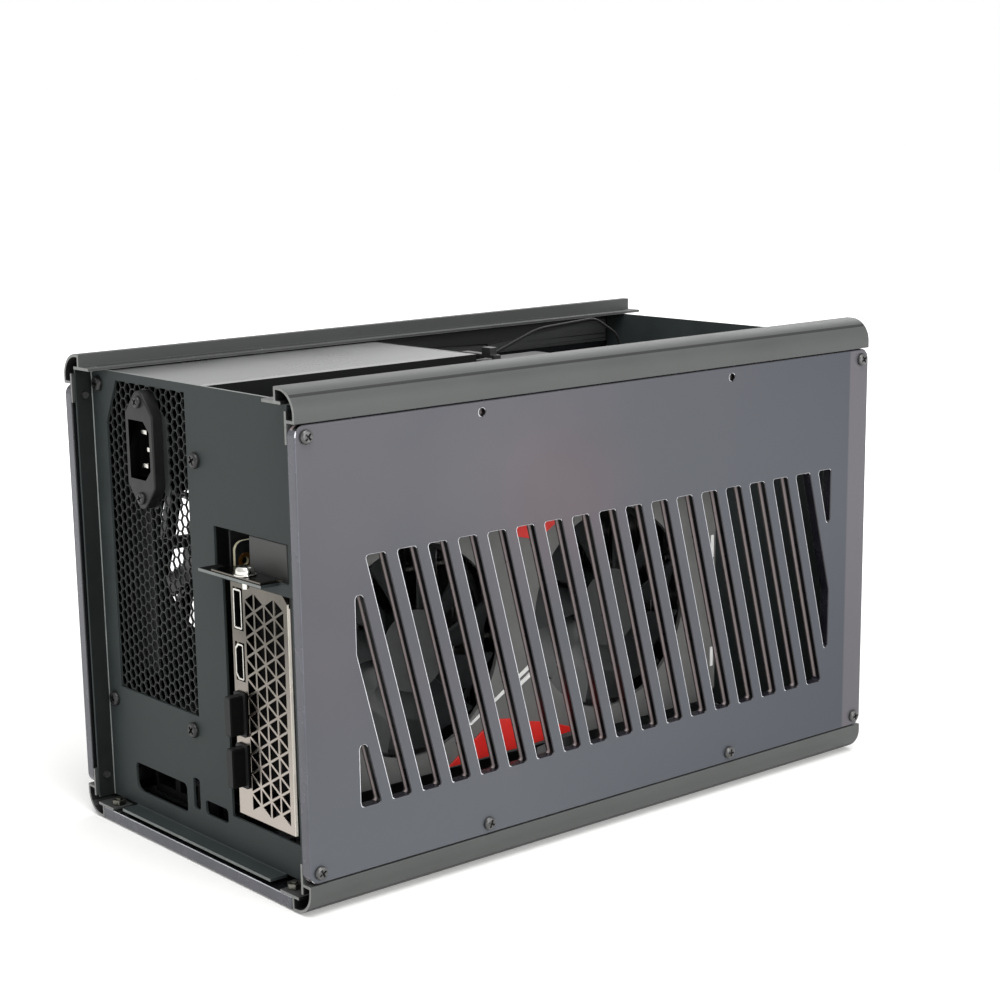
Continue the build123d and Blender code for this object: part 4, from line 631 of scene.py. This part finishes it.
def dressPanel(nodeName, newName, faceFinish, wallFinish, side):
    look = panelLook
    loops = loopsOfNode(nodeName, "Y", side * look["outer"])
    piece = smooth(plateFromLoops(loops, "Y", look["thick"], side * look["middle"], look["soft"]))
    settle(piece, newName, faceFinish, "smoke_acrylic", nodeName)

    def finishFor(face):
        x, z = face.center.x / mm, face.center.z / mm
        facing, right, up = face.normal.y * side, face.normal.x * -side, face.normal.z
        atEnd = abs(x) > look["end"]
        atRim = not look["low"] < z < look["high"]
        spareX, spareZ = look["spare"]
        spare = abs(abs(x) - spareX) < look["around"] and abs(z - spareZ) < look["around"]
        # painted light and shade by facing: lit walls take the painted band of light, the others and the rims painted
        # shade, turned rims a painted highlight
        if facing < -edgeOn:
            return innerFaceFinish
        if facing < edgeOn:
            lit = right < -look["lit"] and -x * side < look["navy"]
            return endEdgeFinish if atEnd else wallFinish if lit else darkEdgeShadeFinish
        if facing < squareOn:
            if atEnd:
                return glintFinish if z > look["bright"] else endEdgeFinish
            if (spare or not atRim) and (right > look["turned"] or up < -edgeOn):
                return glintFinish
            if atRim or right < -look["turned"] or up > edgeOn:
                return darkEdgeShadeFinish

    paintFaces(piece, (wallFinish, glintFinish, darkEdgeShadeFinish, endEdgeFinish, innerFaceFinish), finishFor)


dressPanel("side_panel_front", "frontSidePanel", frontFaceFinish, frontEdgeFinish, -1)
dressPanel("side_panel_back", "backSidePanel", backFaceFinish, backEdgeFinish, 1)

sheetLook = {"top": 5.2, "thick": 5.0, "middle": 2.7, "soft": 0.45, "turned": 0.2}
sheetLoops = loopsOfNode("bottom_panel", "Z", sheetLook["top"])
sheet = smooth(plateFromLoops(sheetLoops, "Z", sheetLook["thick"], sheetLook["middle"], sheetLook["soft"]))
# the bottom sheet is painted near black as painted shade, with painted highlights on its top rims
settle(sheet, "bottomPanel", innerFaceFinish, "smoke_acrylic", "bottom_panel")


def sheetFinishFor(face):
    if abs(face.normal.z) < edgeOn:
        return endEdgeFinish
    if edgeOn < face.normal.z < squareOn and abs(face.normal.x) > sheetLook["turned"]:
        return glintFinish


paintFaces(sheet, (endEdgeFinish, glintFinish), sheetFinishFor)
print("acrylic sheets dressed")


# rails: broken edges, pale sawn ends, a painted highlight on the low rims and painted shade in the hollow behind the
# rounded corner

railLook = {"soft": 0.25, "half": 85.0, "tall": 204.0, "probe": 1.5, "skin": 1.0, "reach": 12.0, "lowRails": 60.0,
            "shelf": 5.0, "rim": 73.0, "rimLow": 195.0, "rimHigh": 200.0, "rimTurn": 0.25}


def inHollow(face):
    spot = face.center / mm + face.normal * railLook["probe"]
    fromSide = railLook["half"] - abs(spot.y)
    fromRim = min(spot.z, railLook["tall"] - spot.z)
    shelfTop = face.normal.z > halfOn and spot.z < railLook["lowRails"] and fromRim > railLook["shelf"]
    return (abs(face.normal.x) < halfOn and railLook["skin"] < fromSide < railLook["reach"]
            and railLook["skin"] < fromRim < railLook["reach"] and not shelfTop)


def railFinishFor(face):
    # bare sawn ends, and a painted highlight on the low rim of the top rails' shelf
    lowRim = (railLook["rimTurn"] < -face.normal.z < squareOn
              and railLook["rimLow"] < face.center.z / mm < railLook["rimHigh"])
    if abs(face.normal.x) > halfOn or (abs(face.center.y / mm) < railLook["rim"] and lowRim):
        return railCutGlintFinish
    # faces inside the hollow get painted shade
    return railHollowShadeFinish if inHollow(face) else None


for nodeName in ("rail_top_front", "rail_top_back", "rail_bottom_front", "rail_bottom_back"):
    # the far top rail takes the copy painted darker as painted shade
    finish = railFarShadeFinish if nodeName == "rail_top_back" else railFinish
    rail = softened(nodeName, "dressed." + nodeName, finish, railLook["soft"])
    paintFaces(rail, (railHollowShadeFinish, railCutGlintFinish), railFinishFor)

# end panels; a port is its two sides, foot and head, and the radius of its corners
endLook = {"outer": -150.0, "inner": -148.8, "thick": 1.2, "middle": -149.4, "soft": 0.1, "slack": 0.2,
           "ports": ((16.4, 57.8, 14.7, 27.4, 2.4), (6.2, 11.2, 18.2, 31.8, 1.4), (-14.8, 2.2, 17.9, 24.1, 1.8)),
           "wallHalf": 76.0, "wallLow": 10.0, "wallHigh": 196.0, "foldY": 70.0, "foldTurn": 0.92, "tipX": -157.3,
           "footZ": 9.0, "ledgeEdge": 125.9, "edgeBand": 1.0, "ledgeTop": 126.5, "topBand": 0.3, "ledgeX": -150.2,
           "ledgeTurn": 0.9, "wallTurn": 0.1, "topEdge": 196.5}
softened("plain_end_panel", "plainEndPanel", plateFinish, 0.15)
endLoops = loopsOfNode("io_end_panel", "X", endLook["outer"])
for near, far, low, high, corner in endLook["ports"]:
    slack = endLook["slack"]
    pick(endLoops, "VERT", "vertices", lambda point: near - slack < point.co.x / mm < far + slack
         and low - slack < point.co.y / mm < high + slack)
    bpy.ops.mesh.bevel(offset=corner * mm, segments=5, affect="VERTICES")
    endEdit()
endPlate = plateFromLoops(endLoops, "X", endLook["thick"], endLook["middle"], endLook["soft"], 1)
endFolds = copyOfNode("io_end_panel")


def onPlate(face):
    spot = face.center / mm
    toFaces = min(abs(spot.x - endLook["outer"]), abs(spot.x - endLook["inner"]))
    flat = abs(face.normal.x) > flatOn and toFaces < levelGap
    wall = (abs(face.normal.x) < endLook["wallTurn"] and endLook["outer"] < spot.x < endLook["inner"]
            and abs(spot.y) < endLook["wallHalf"] and endLook["wallLow"] < spot.z < endLook["wallHigh"])
    return flat or wall


def endFinishFor(face):
    spot, normal = face.center / mm, face.normal
    fold = normal.y < -edgeOn and -endLook["foldTurn"] < normal.x < -edgeOn and spot.y > endLook["foldY"]
    tip = (normal.x < -halfOn and spot.x < endLook["tipX"]
           and (spot.z < endLook["footZ"] or abs(spot.z - endLook["ledgeEdge"]) < endLook["edgeBand"]))
    # a painted highlight on the fold, the flange's outer tips and the top edge
    if fold or tip or (normal.z > edgeOn and spot.z > endLook["topEdge"]):
        return plateRimGlintFinish
    # painted shade on the flange's inner face
    if normal.y < -halfOn and spot.y > endLook["foldY"]:
        return plateFoldFinish
    # the ledge's top painted near black as painted shade
    onLedge = abs(spot.z - endLook["ledgeTop"]) < endLook["topBand"] and spot.x < endLook["ledgeX"]
    if normal.z > endLook["ledgeTurn"] and onLedge:
        return cavityShadeFinish


deleteFaces(endFolds, onPlate)
ioEnd = smooth(joined([endPlate, endFolds]), 35)
settle(ioEnd, "ioEndPanel", plateFinish, "coated_steel", "io_end_panel")
paintFaces(ioEnd, (plateFoldFinish, plateRimGlintFinish, cavityShadeFinish), endFinishFor)
print("rails and ends dressed")


# supply: end wall with its fine honeycomb, set into the folded case

combLook = {"pitch": 4.6, "web": 0.5, "near": 2.6, "low": 57.4, "far": 68.6, "high": 195.2, "rows": 31, "pairs": 9,
            "wall": 1.0, "middle": -148.3, "soft": 0.1, "centre": (35.0, 122.0), "size": (86.0, 150.0),
            "inlet": (34.4, 167.2), "inletHole": (21.0, 26.8), "clear": 3.2}
supplyLook = {"endWall": -147.7, "middle": 35.0, "sides": 41.0, "sideways": 0.8, "soft": 0.3}
deselectAll()
cellFlat = combLook["pitch"] - combLook["web"]
bpy.ops.mesh.primitive_circle_add(vertices=6, radius=cellFlat / math.sqrt(3) * mm, fill_type="NGON",
                                  location=(combLook["near"] * mm, combLook["low"] * mm, 0),
                                  rotation=(0, 0, math.pi / 2))
comb = applyPlace(bpy.context.active_object)
columnStep = combLook["pitch"] * math.sqrt(3) / 2
for count, step in ((combLook["rows"], (0, combLook["pitch"], 0)), (2, (columnStep, combLook["pitch"] / 2, 0)),
                    (combLook["pairs"], (2 * columnStep, 0, 0))):
    applyModifier(comb, "ARRAY", count=count, use_relative_offset=False, use_constant_offset=True,
                  constant_offset_displace=[part * mm for part in step])


def offComb(face):
    y, z = face.center.x / mm, face.center.y / mm
    beside = abs(y - combLook["inlet"][0]) - combLook["inletHole"][0] / 2
    above = abs(z - combLook["inlet"][1]) - combLook["inletHole"][1] / 2
    return y > combLook["far"] or z > combLook["high"] or max(beside, above) < combLook["clear"]


deleteFaces(comb, offComb)
outlines = []
for centre, size in ((combLook["centre"], combLook["size"]), (combLook["inlet"], combLook["inletHole"])):
    deselectAll()
    bpy.ops.mesh.primitive_plane_add(size=1, location=(centre[0] * mm, centre[1] * mm, 0))
    bpy.context.active_object.scale = (size[0] * mm, size[1] * mm, 1)
    outlines.append(applyPlace(bpy.context.active_object))
comb = joined([comb] + outlines)
editAll(comb)
bpy.ops.mesh.delete(type="ONLY_FACE")
endEdit()
comb = plateFromLoops(comb, "X", combLook["wall"], combLook["middle"], combLook["soft"], 0)
comb.data.materials.clear()
paintFaces(comb, (supplyFinish, combFinish), lambda face: combFinish)
supplyCase = copyOfNode("psu_case")
supplyCase.data.materials.append(supplyFinish)
deleteFaces(supplyCase, lambda face: face.center.x < supplyLook["endWall"] * mm)
supplyCase = smooth(joined([comb, supplyCase]), 30)
settle(supplyCase, "supplyCase", None, "supply_steel", "psu_case")
supplyCover = softened("psu_cover", "supplyCover", coverFinish, supplyLook["soft"])


def supplyFinishFor(face):
    # the long sides of the case and cover get painted shade
    fromMiddle = abs(face.center.y / mm - supplyLook["middle"])
    if abs(face.normal.y) > supplyLook["sideways"] and fromMiddle > supplyLook["sides"]:
        return supplySideShadeFinish


for piece in (supplyCase, supplyCover):
    paintFaces(piece, (supplySideShadeFinish,), supplyFinishFor)
print("supply dressed:", len(supplyCase.data.polygons), "faces")


# screws: pan heads with a crossed recess

facings = {"-Y": Euler((math.pi / 2, 0, 0)), "+Y": Euler((-math.pi / 2, 0, 0)), "-X": Euler((0, -math.pi / 2, 0)),
           "+Z": Euler((0, 0, 0))}
# shares of a head's height and radius, and how far each is turned from the one before
headLook = {"crown": 0.9, "round": 0.62, "cross": ((1.2, 0.3), (0.3, 1.2)), "deep": 1.3,
            "firstTurn": 0.5, "nextTurn": 1.9}
sideScrewLook = {"finish": blackScrewFinish, "radius": 2.8, "high": 1.9, "shank": 1.45, "long": 9.0}
screwLook = {
    "side_screws_front": {"name": "sideScrewsFront", **sideScrewLook, "facing": "-Y", "seat": -84.8},
    "side_screws_back": {"name": "sideScrewsBack", **sideScrewLook, "facing": "+Y", "seat": 84.8},
    "psu_screws": {"name": "supplyScrews", "finish": darkScrewFinish, "radius": 3.3, "high": 2.0, "shank": 1.6,
                   "long": 5.0, "facing": "-X", "seat": -150.0},
    "inlet_screws": {"name": "inletScrews", "finish": darkScrewFinish, "radius": 2.6, "high": 1.4, "shank": 1.4,
                     "long": 7.5, "facing": "-X", "seat": -153.8},
    "card_screw": {"name": "cardScrew", "finish": zincFinish, "radius": 3.9, "high": 3.0, "shank": 1.4,
                   "long": 6.2, "facing": "+Z", "seat": 128.2},
}


def crossHead(look):
    # stands on the XY plane with its recess upward, and a plain shank below
    radius, high = look["radius"], look["high"]
    head = rod((0, 0, high / 2), radius, high)
    pickEdges(head, lambda a, b: min(a.z, b.z) > high * headLook["crown"] * mm)
    bpy.ops.mesh.bevel(offset=high * headLook["round"] * mm, segments=5, profile=0.5)
    pickFaces(head, lambda face: face.normal.z < -squareOn)
    bpy.ops.mesh.inset(thickness=(radius - look["shank"]) * mm)
    bpy.ops.mesh.extrude_region_move(TRANSFORM_OT_translate={"value": (0, 0, -look["long"] * mm)})
    endEdit()
    for wide, deep in headLook["cross"]:
        cutAway(head, block((0, 0, high), (wide * radius, deep * radius, high * headLook["deep"])))
    return smooth(tidyMesh(head))


for nodeName, look in screwLook.items():
    head = crossHead(look)
    heads = []
    for count, (low, high) in enumerate(loosePlaces(nodeName)):
        middle = [(a + b) / 2 for a, b in zip(low, high)]
        middle["XYZ".index(look["facing"][1])] = look["seat"] * mm
        spin = Matrix.Rotation(headLook["firstTurn"] + headLook["nextTurn"] * count, 3, "Z")
        heads.append(placedCopy(head, middle, (facings[look["facing"]].to_matrix() @ spin).to_euler()))
    bpy.data.objects.remove(head)
    settle(joined(heads), look["name"], look["finish"], slotOf[nodeName], nodeName)

washerLook = {"centre": (-154.4, -41.6, 127.8), "radius": 4.5, "thick": 0.8, "soft": 0.25}
washer = rod(washerLook["centre"], washerLook["radius"], washerLook["thick"], 48)
breakEdges(washer, washerLook["soft"], 3)
settle(smooth(washer), "cardScrewWasher", zincFinish, "zinc_hardware")
softened("bottom_nuts", "bottomNuts", dullZincFinish, 0.3)
softened("bottom_screws", "bottomScrews", dullZincFinish, 0.25)
print("screws and nuts dressed")


# card bracket: stamped face, flange on the ledge and stiffening lip, with rounded stamped rims

bracketLook = {"sheets": (("X", -148.7, -148.25), ("Z", 127.4, 126.95), ("Y", -61.0, -60.55)), "thick": 0.9,
               "soft": 0.14, "slim": 0.13, "lipEnd": -147.4, "foot": 24.6, "lip": -60.7, "flange": 127.0}
bracketParts = [plateFromLoops(loopsOfNode("card_bracket", axis, level), axis, bracketLook["thick"], centre,
                               bracketLook["soft"], slim=bracketLook["slim"])
                for axis, level, centre in bracketLook["sheets"]]
trim(bracketParts[2], (bracketLook["lipEnd"], 0, 0), (1, 0, 0), clear_outer=True)
bracket = joined(bracketParts)
trim(bracket, (0, 0, bracketLook["foot"]), (0, 0, 1), clear_inner=True)
settle(smooth(bracket), "cardBracket", bracketFinish, "bracket_nickel", "card_bracket")


# a painted highlight on the lip, a painted reflection on the flange's top
def bracketFinishFor(face):
    if face.normal.y < -halfOn and face.center.y < bracketLook["lip"] * mm:
        return lipGlintFinish
    if face.normal.z > squareOn and face.center.z > bracketLook["flange"] * mm:
        return flangeReflectionFinish


paintFaces(bracket, (lipGlintFinish, flangeReflectionFinish), bracketFinishFor)
socketLook = {"soft": 0.12, "shell": -147.6, "capSoft": 0.35, "capShade": -0.4}
sockets = softened("display_sockets", "displaySockets", contactFinish, socketLook["soft"])
# the sockets' insides, painted near black as painted shade
paintFaces(sockets, (cavityShadeFinish,),
           lambda face: cavityShadeFinish if face.center.x > socketLook["shell"] * mm else None)
dustCaps = softened("dust_caps", "dustCaps", capFinish, socketLook["capSoft"], 3)
# the caps' sides that face along -Y and down, painted near black as painted shade
paintFaces(dustCaps, (cavityShadeFinish,),
           lambda face: cavityShadeFinish if min(face.normal.y, face.normal.z) < socketLook["capShade"] else None)
print("bracket dressed")


# mains inlet: a moulding with rounded ears, drawn lying down and then stood up

inletLook = {"centre": (34.4, 167.2), "size": (21.2, 29.8), "ear": 4.6, "span": 20.0, "front": -153.8, "back": -148.8,
             "cavity": (16.0, 24.4), "corner": 4.2, "rim": 0.7, "lip": 0.3, "slack": 0.05, "pinSoft": 0.35}
inletY, inletZ = inletLook["centre"]
inletThick = inletLook["back"] - inletLook["front"]
inletMid = (inletLook["back"] + inletLook["front"]) / 2
inletParts = [block((inletY, inletZ, inletMid), (*inletLook["size"], inletThick))]
for lift in (-inletLook["span"], inletLook["span"]):
    inletParts.append(rod((inletY, inletZ + lift, inletMid), inletLook["ear"], inletThick))
inlet = joined(inletParts)
editAll(inlet)
bpy.ops.mesh.convex_hull()
bpy.ops.mesh.dissolve_limited(angle_limit=math.radians(1))
pickEdges(inlet, lambda a, b: max(a.z, b.z) < (inletLook["front"] + 0.1) * mm)
bpy.ops.mesh.bevel(offset=inletLook["rim"] * mm, segments=3, profile=0.5)
cavity = block((inletY, inletZ, inletMid), (*inletLook["cavity"], 3 * inletThick))
# two corners are cut off, so that a plug goes in one way only
pickEdges(cavity, lambda a, b: max(a.x, b.x) < inletY * mm and max(abs(a.x - b.x), abs(a.y - b.y)) < 0.1 * mm)
bpy.ops.mesh.bevel(offset=inletLook["corner"] * mm, segments=1)
endEdit()
cutAway(inlet, cavity)
inlet.rotation_euler = turns["X"]
applyPlace(inlet)
inletBack = copyOfNode("mains_inlet")
deleteFaces(inletBack, lambda face: face.center.x < (inletLook["back"] - levelGap) * mm)
inlet = smooth(joined([inlet, inletBack]))
settle(inlet, "mainsInlet", inletFinish, "black_plastic", "mains_inlet")


def inletFinishFor(face):
    spot = face.center / mm
    inside = (abs(spot.y - inletY) < inletLook["cavity"][0] / 2 + inletLook["slack"]
              and abs(spot.z - inletZ) < inletLook["cavity"][1] / 2 + inletLook["slack"])
    # the inlet's cavity takes the matt black with painted shade
    if inside and spot.x > inletLook["front"] + inletLook["lip"]:
        return cavityShadeFinish


paintFaces(inlet, (cavityShadeFinish,), inletFinishFor)
softened("inlet_pins", "inletPins", contactFinish, inletLook["pinSoft"], 3)
print("inlet dressed")


# card: board with its laminate edge and plated ring, shroud, inlays, fans

boardLook = {"face": -22.9, "thick": 1.6, "middle": -22.1, "soft": 0.08}
boardLoops = loopsOfNode("card_board", "Y", boardLook["face"])
cardBoard = smooth(plateFromLoops(boardLoops, "Y", boardLook["thick"], boardLook["middle"], boardLook["soft"], 0))
settle(cardBoard, "cardBoard", boardFinish, "black_board", "card_board")
paintFaces(cardBoard, (laminateFinish,), lambda face: laminateFinish if abs(face.normal.y) < halfOn else None)

ringLook = {"centre": (-141.8, 128.2), "outer": 3.3, "inner": 1.6, "thick": 0.08, "face": -22.94, "soft": 0.02}
rims = []
for radius in (ringLook["outer"], ringLook["inner"]):
    deselectAll()
    bpy.ops.mesh.primitive_circle_add(vertices=32, radius=radius * mm,
                                      location=(ringLook["centre"][0] * mm, ringLook["centre"][1] * mm, 0))
    rims.append(applyPlace(bpy.context.active_object))
ring = plateFromLoops(joined(rims), "Y", ringLook["thick"], ringLook["face"], ringLook["soft"], 0)
settle(smooth(ring, 35), "platedRing", ringFinish, "contact_metal")

shroudLook = {"low": (-145.5, -57.2, 122.5), "high": (-143.2, -31.4, 140.4), "soft": 0.5, "end": -140.0}
wallEnds = list(zip(shroudLook["low"], shroudLook["high"]))
endWall = block([(a + b) / 2 for a, b in wallEnds], [b - a for a, b in wallEnds])
breakEdges(endWall, shroudLook["soft"], 3)
settle(smooth(endWall), "shroudEndWall", shroudEndFinish, "shroud_plastic")
shroud = softened("card_shroud", "cardShroud", shroudFinish, shroudLook["soft"], 3)


def shroudFinishFor(face):
    # the shroud's end faces, seen through the bracket, painted near black as painted shade
    if face.normal.x < -halfOn and face.center.x < shroudLook["end"] * mm:
        return cavityShadeFinish


paintFaces(shroud, (cavityShadeFinish,), shroudFinishFor)
softened("shroud_accents", "shroudAccents", redFinish, 0.15)
softened("shroud_stripes", "shroudStripes", paleFinish, 0.1)
markLook = {"x": 86.9, "face": -57.5, "wide": 1.9, "thick": 0.4, "soft": 0.15,
            "spans": ((100.2, 110.5), (49.2, 58.2))}
marks = []
for low, high in markLook["spans"]:
    mark = block((markLook["x"], markLook["face"], (low + high) / 2),
                 (markLook["wide"], markLook["thick"], high - low))
    breakEdges(mark, markLook["soft"], 2)
    marks.append(mark)
settle(smooth(joined(marks)), "shroudEndMarks", paleFinish, "pale_paint")
softened("card_fan_mounts", "cardFanMounts", mouldingFinish, 0.2)
for nodeName, body in (("card_fan_left", "left_fan"), ("card_fan_right", "right_fan")):
    softened(nodeName, "rotor." + body, bladeFinish, 0.25, body=body, degrees=40)
print("card dressed")


# leads and small mouldings, each with the width of its rounded edges

smallLook = {"dock_lead": 0.6, "card_lead": 0.0, "lead_tie": 0.3, "lead_grommets": 0.3, "card_power_plug": 0.3,
             "dock_power_plug": 0.3, "link_socket": 0.25, "dock_switch": 0.25, "dock_port": 0.25,
             "psu_capacitors": 0.0, "card_heat_pipes": 0.0, "psu_fan_guard": 0.0, "psu_fan_frame": 0.0,
             "dock_standoffs": 0.0}
for nodeName, width in smallLook.items():
    # mouldings inside the ports take the matt black with painted shade
    inPort = nodeName in ("link_socket", "dock_switch", "dock_port")
    softened(nodeName, "dressed." + nodeName, cavityShadeFinish if inPort else finishOf[slotOf[nodeName]], width)
softened("thin_lead", "thinLead", leadFinish, 0.0, slimmer=0.3)
softened("psu_fan_rotor", "rotor.supply_fan", bladeFinish, 0.2, body="supply_fan", degrees=40)
print("leads and small parts dressed")


# floor, light and camera, in metres

stageLook = {"floor": "#f4f4f2", "floorSize": 12.0, "floorDrop": 0.0004, "floorRough": 0.9, "fill": 0.55,
             "nearGlow": 0.15, "farGlow": 1.0, "near": 0.25, "far": 0.9, "aim": (0, 0, 0.1)}
white = (1.0, 1.0, 1.0, 1.0)


def seenBy(tree):
    # 1 for rays that draw the picture, its reflections and what is seen through, 0 for those that light it
    rays = addNode(tree, "ShaderNodeLightPath")
    first = addNode(tree, "ShaderNodeMath", {0: rays.outputs["Is Camera Ray"], 1: rays.outputs["Is Glossy Ray"]},
                    operation="MAXIMUM")
    return addNode(tree, "ShaderNodeMath", {0: first.outputs[0], 1: rays.outputs["Is Transmission Ray"]},
                   operation="MAXIMUM").outputs[0]


deselectAll()
bpy.ops.mesh.primitive_plane_add(size=stageLook["floorSize"], location=(0, 0, -stageLook["floorDrop"]))
floor = bpy.context.active_object
floor.name = "studioFloor"
# matt white paper sweep, which brightens to pure white away from the object
floorFinish, floorTree, floorShader, floorPlace = blankFinish("paleStudioFloor")
floorShader.inputs["Base Color"].default_value = linear(stageLook["floor"])
floorShader.inputs["Roughness"].default_value = stageLook["floorRough"]
floorShader.inputs["Specular IOR Level"].default_value = 0.0
distance = addNode(floorTree, "ShaderNodeVectorMath", {0: floorPlace}, operation="LENGTH")
glow = addNode(floorTree, "ShaderNodeMapRange", {"Value": distance.outputs["Value"]},
               {"From Min": stageLook["near"], "From Max": stageLook["far"], "To Min": stageLook["nearGlow"],
                "To Max": stageLook["farGlow"]}, interpolation_type="SMOOTHSTEP")
seenGlow = addNode(floorTree, "ShaderNodeMath", {0: glow.outputs["Result"], 1: seenBy(floorTree)},
                   operation="MULTIPLY")
floorShader.inputs["Emission Color"].default_value = white
floorTree.links.new(seenGlow.outputs[0], floorShader.inputs["Emission Strength"])
floor.data.materials.append(floorFinish)

world = bpy.data.worlds.new("studioWorld")
bpy.context.scene.world = world
world.use_nodes = True
worldTree = world.node_tree
worldTree.nodes.clear()
strength = addNode(worldTree, "ShaderNodeMapRange", {"Value": seenBy(worldTree)},
                   {"To Min": stageLook["fill"], "To Max": 1.0})
sky = addNode(worldTree, "ShaderNodeBackground", {"Strength": strength.outputs["Result"]}, {"Color": white})
addNode(worldTree, "ShaderNodeOutputWorld", {"Surface": sky.outputs["Background"]})

lampLook = {
    "keyLamp": {"power": 14.0, "size": (0.9, 0.9), "place": (-0.3, -0.5, 1.3)},
    "frontLamp": {"power": 22.0, "size": (1.8, 0.9), "place": (0.1, -1.7, 0.5)},
    "rimLamp": {"power": 5.0, "size": (0.8, 0.5), "place": (0.9, 0.6, 0.9)},
}
for name, look in lampLook.items():
    bpy.ops.object.light_add(type="AREA", location=look["place"])
    lamp = bpy.context.active_object
    lamp.name = name
    lamp.data.shape = "RECTANGLE"
    lamp.data.size, lamp.data.size_y = look["size"]
    lamp.data.energy = look["power"]
    toward = Vector(stageLook["aim"]) - Vector(look["place"])
    lamp.rotation_euler = toward.to_track_quat("-Z", "Y").to_euler()

# camera solved from the photograph
cameraLook = {"lens": 75.27, "sensor": 36.0, "shift": (0.0659, 0.0776), "place": (-0.58663, -0.70388, 0.30476),
              "turn": 38.4152, "down": 12.8699, "roll": -1.2168, "nearest": 0.01}
bpy.ops.object.camera_add(location=cameraLook["place"])
camera = bpy.context.active_object
camera.name = "photoCamera"
aim = (Matrix.Rotation(math.radians(-cameraLook["turn"]), 4, "Z")
       @ Matrix.Rotation(math.radians(90 - cameraLook["down"]), 4, "X")
       @ Matrix.Rotation(math.radians(cameraLook["roll"]), 4, "Z"))
camera.rotation_euler = aim.to_euler()
camera.data.sensor_fit = "HORIZONTAL"
camera.data.sensor_width = cameraLook["sensor"]
camera.data.lens = cameraLook["lens"]
camera.data.shift_x, camera.data.shift_y = cameraLook["shift"]
camera.data.clip_start = cameraLook["nearest"]
bpy.context.scene.camera = camera
bpy.context.scene.view_settings.view_transform = "Standard"
print("stage ready")
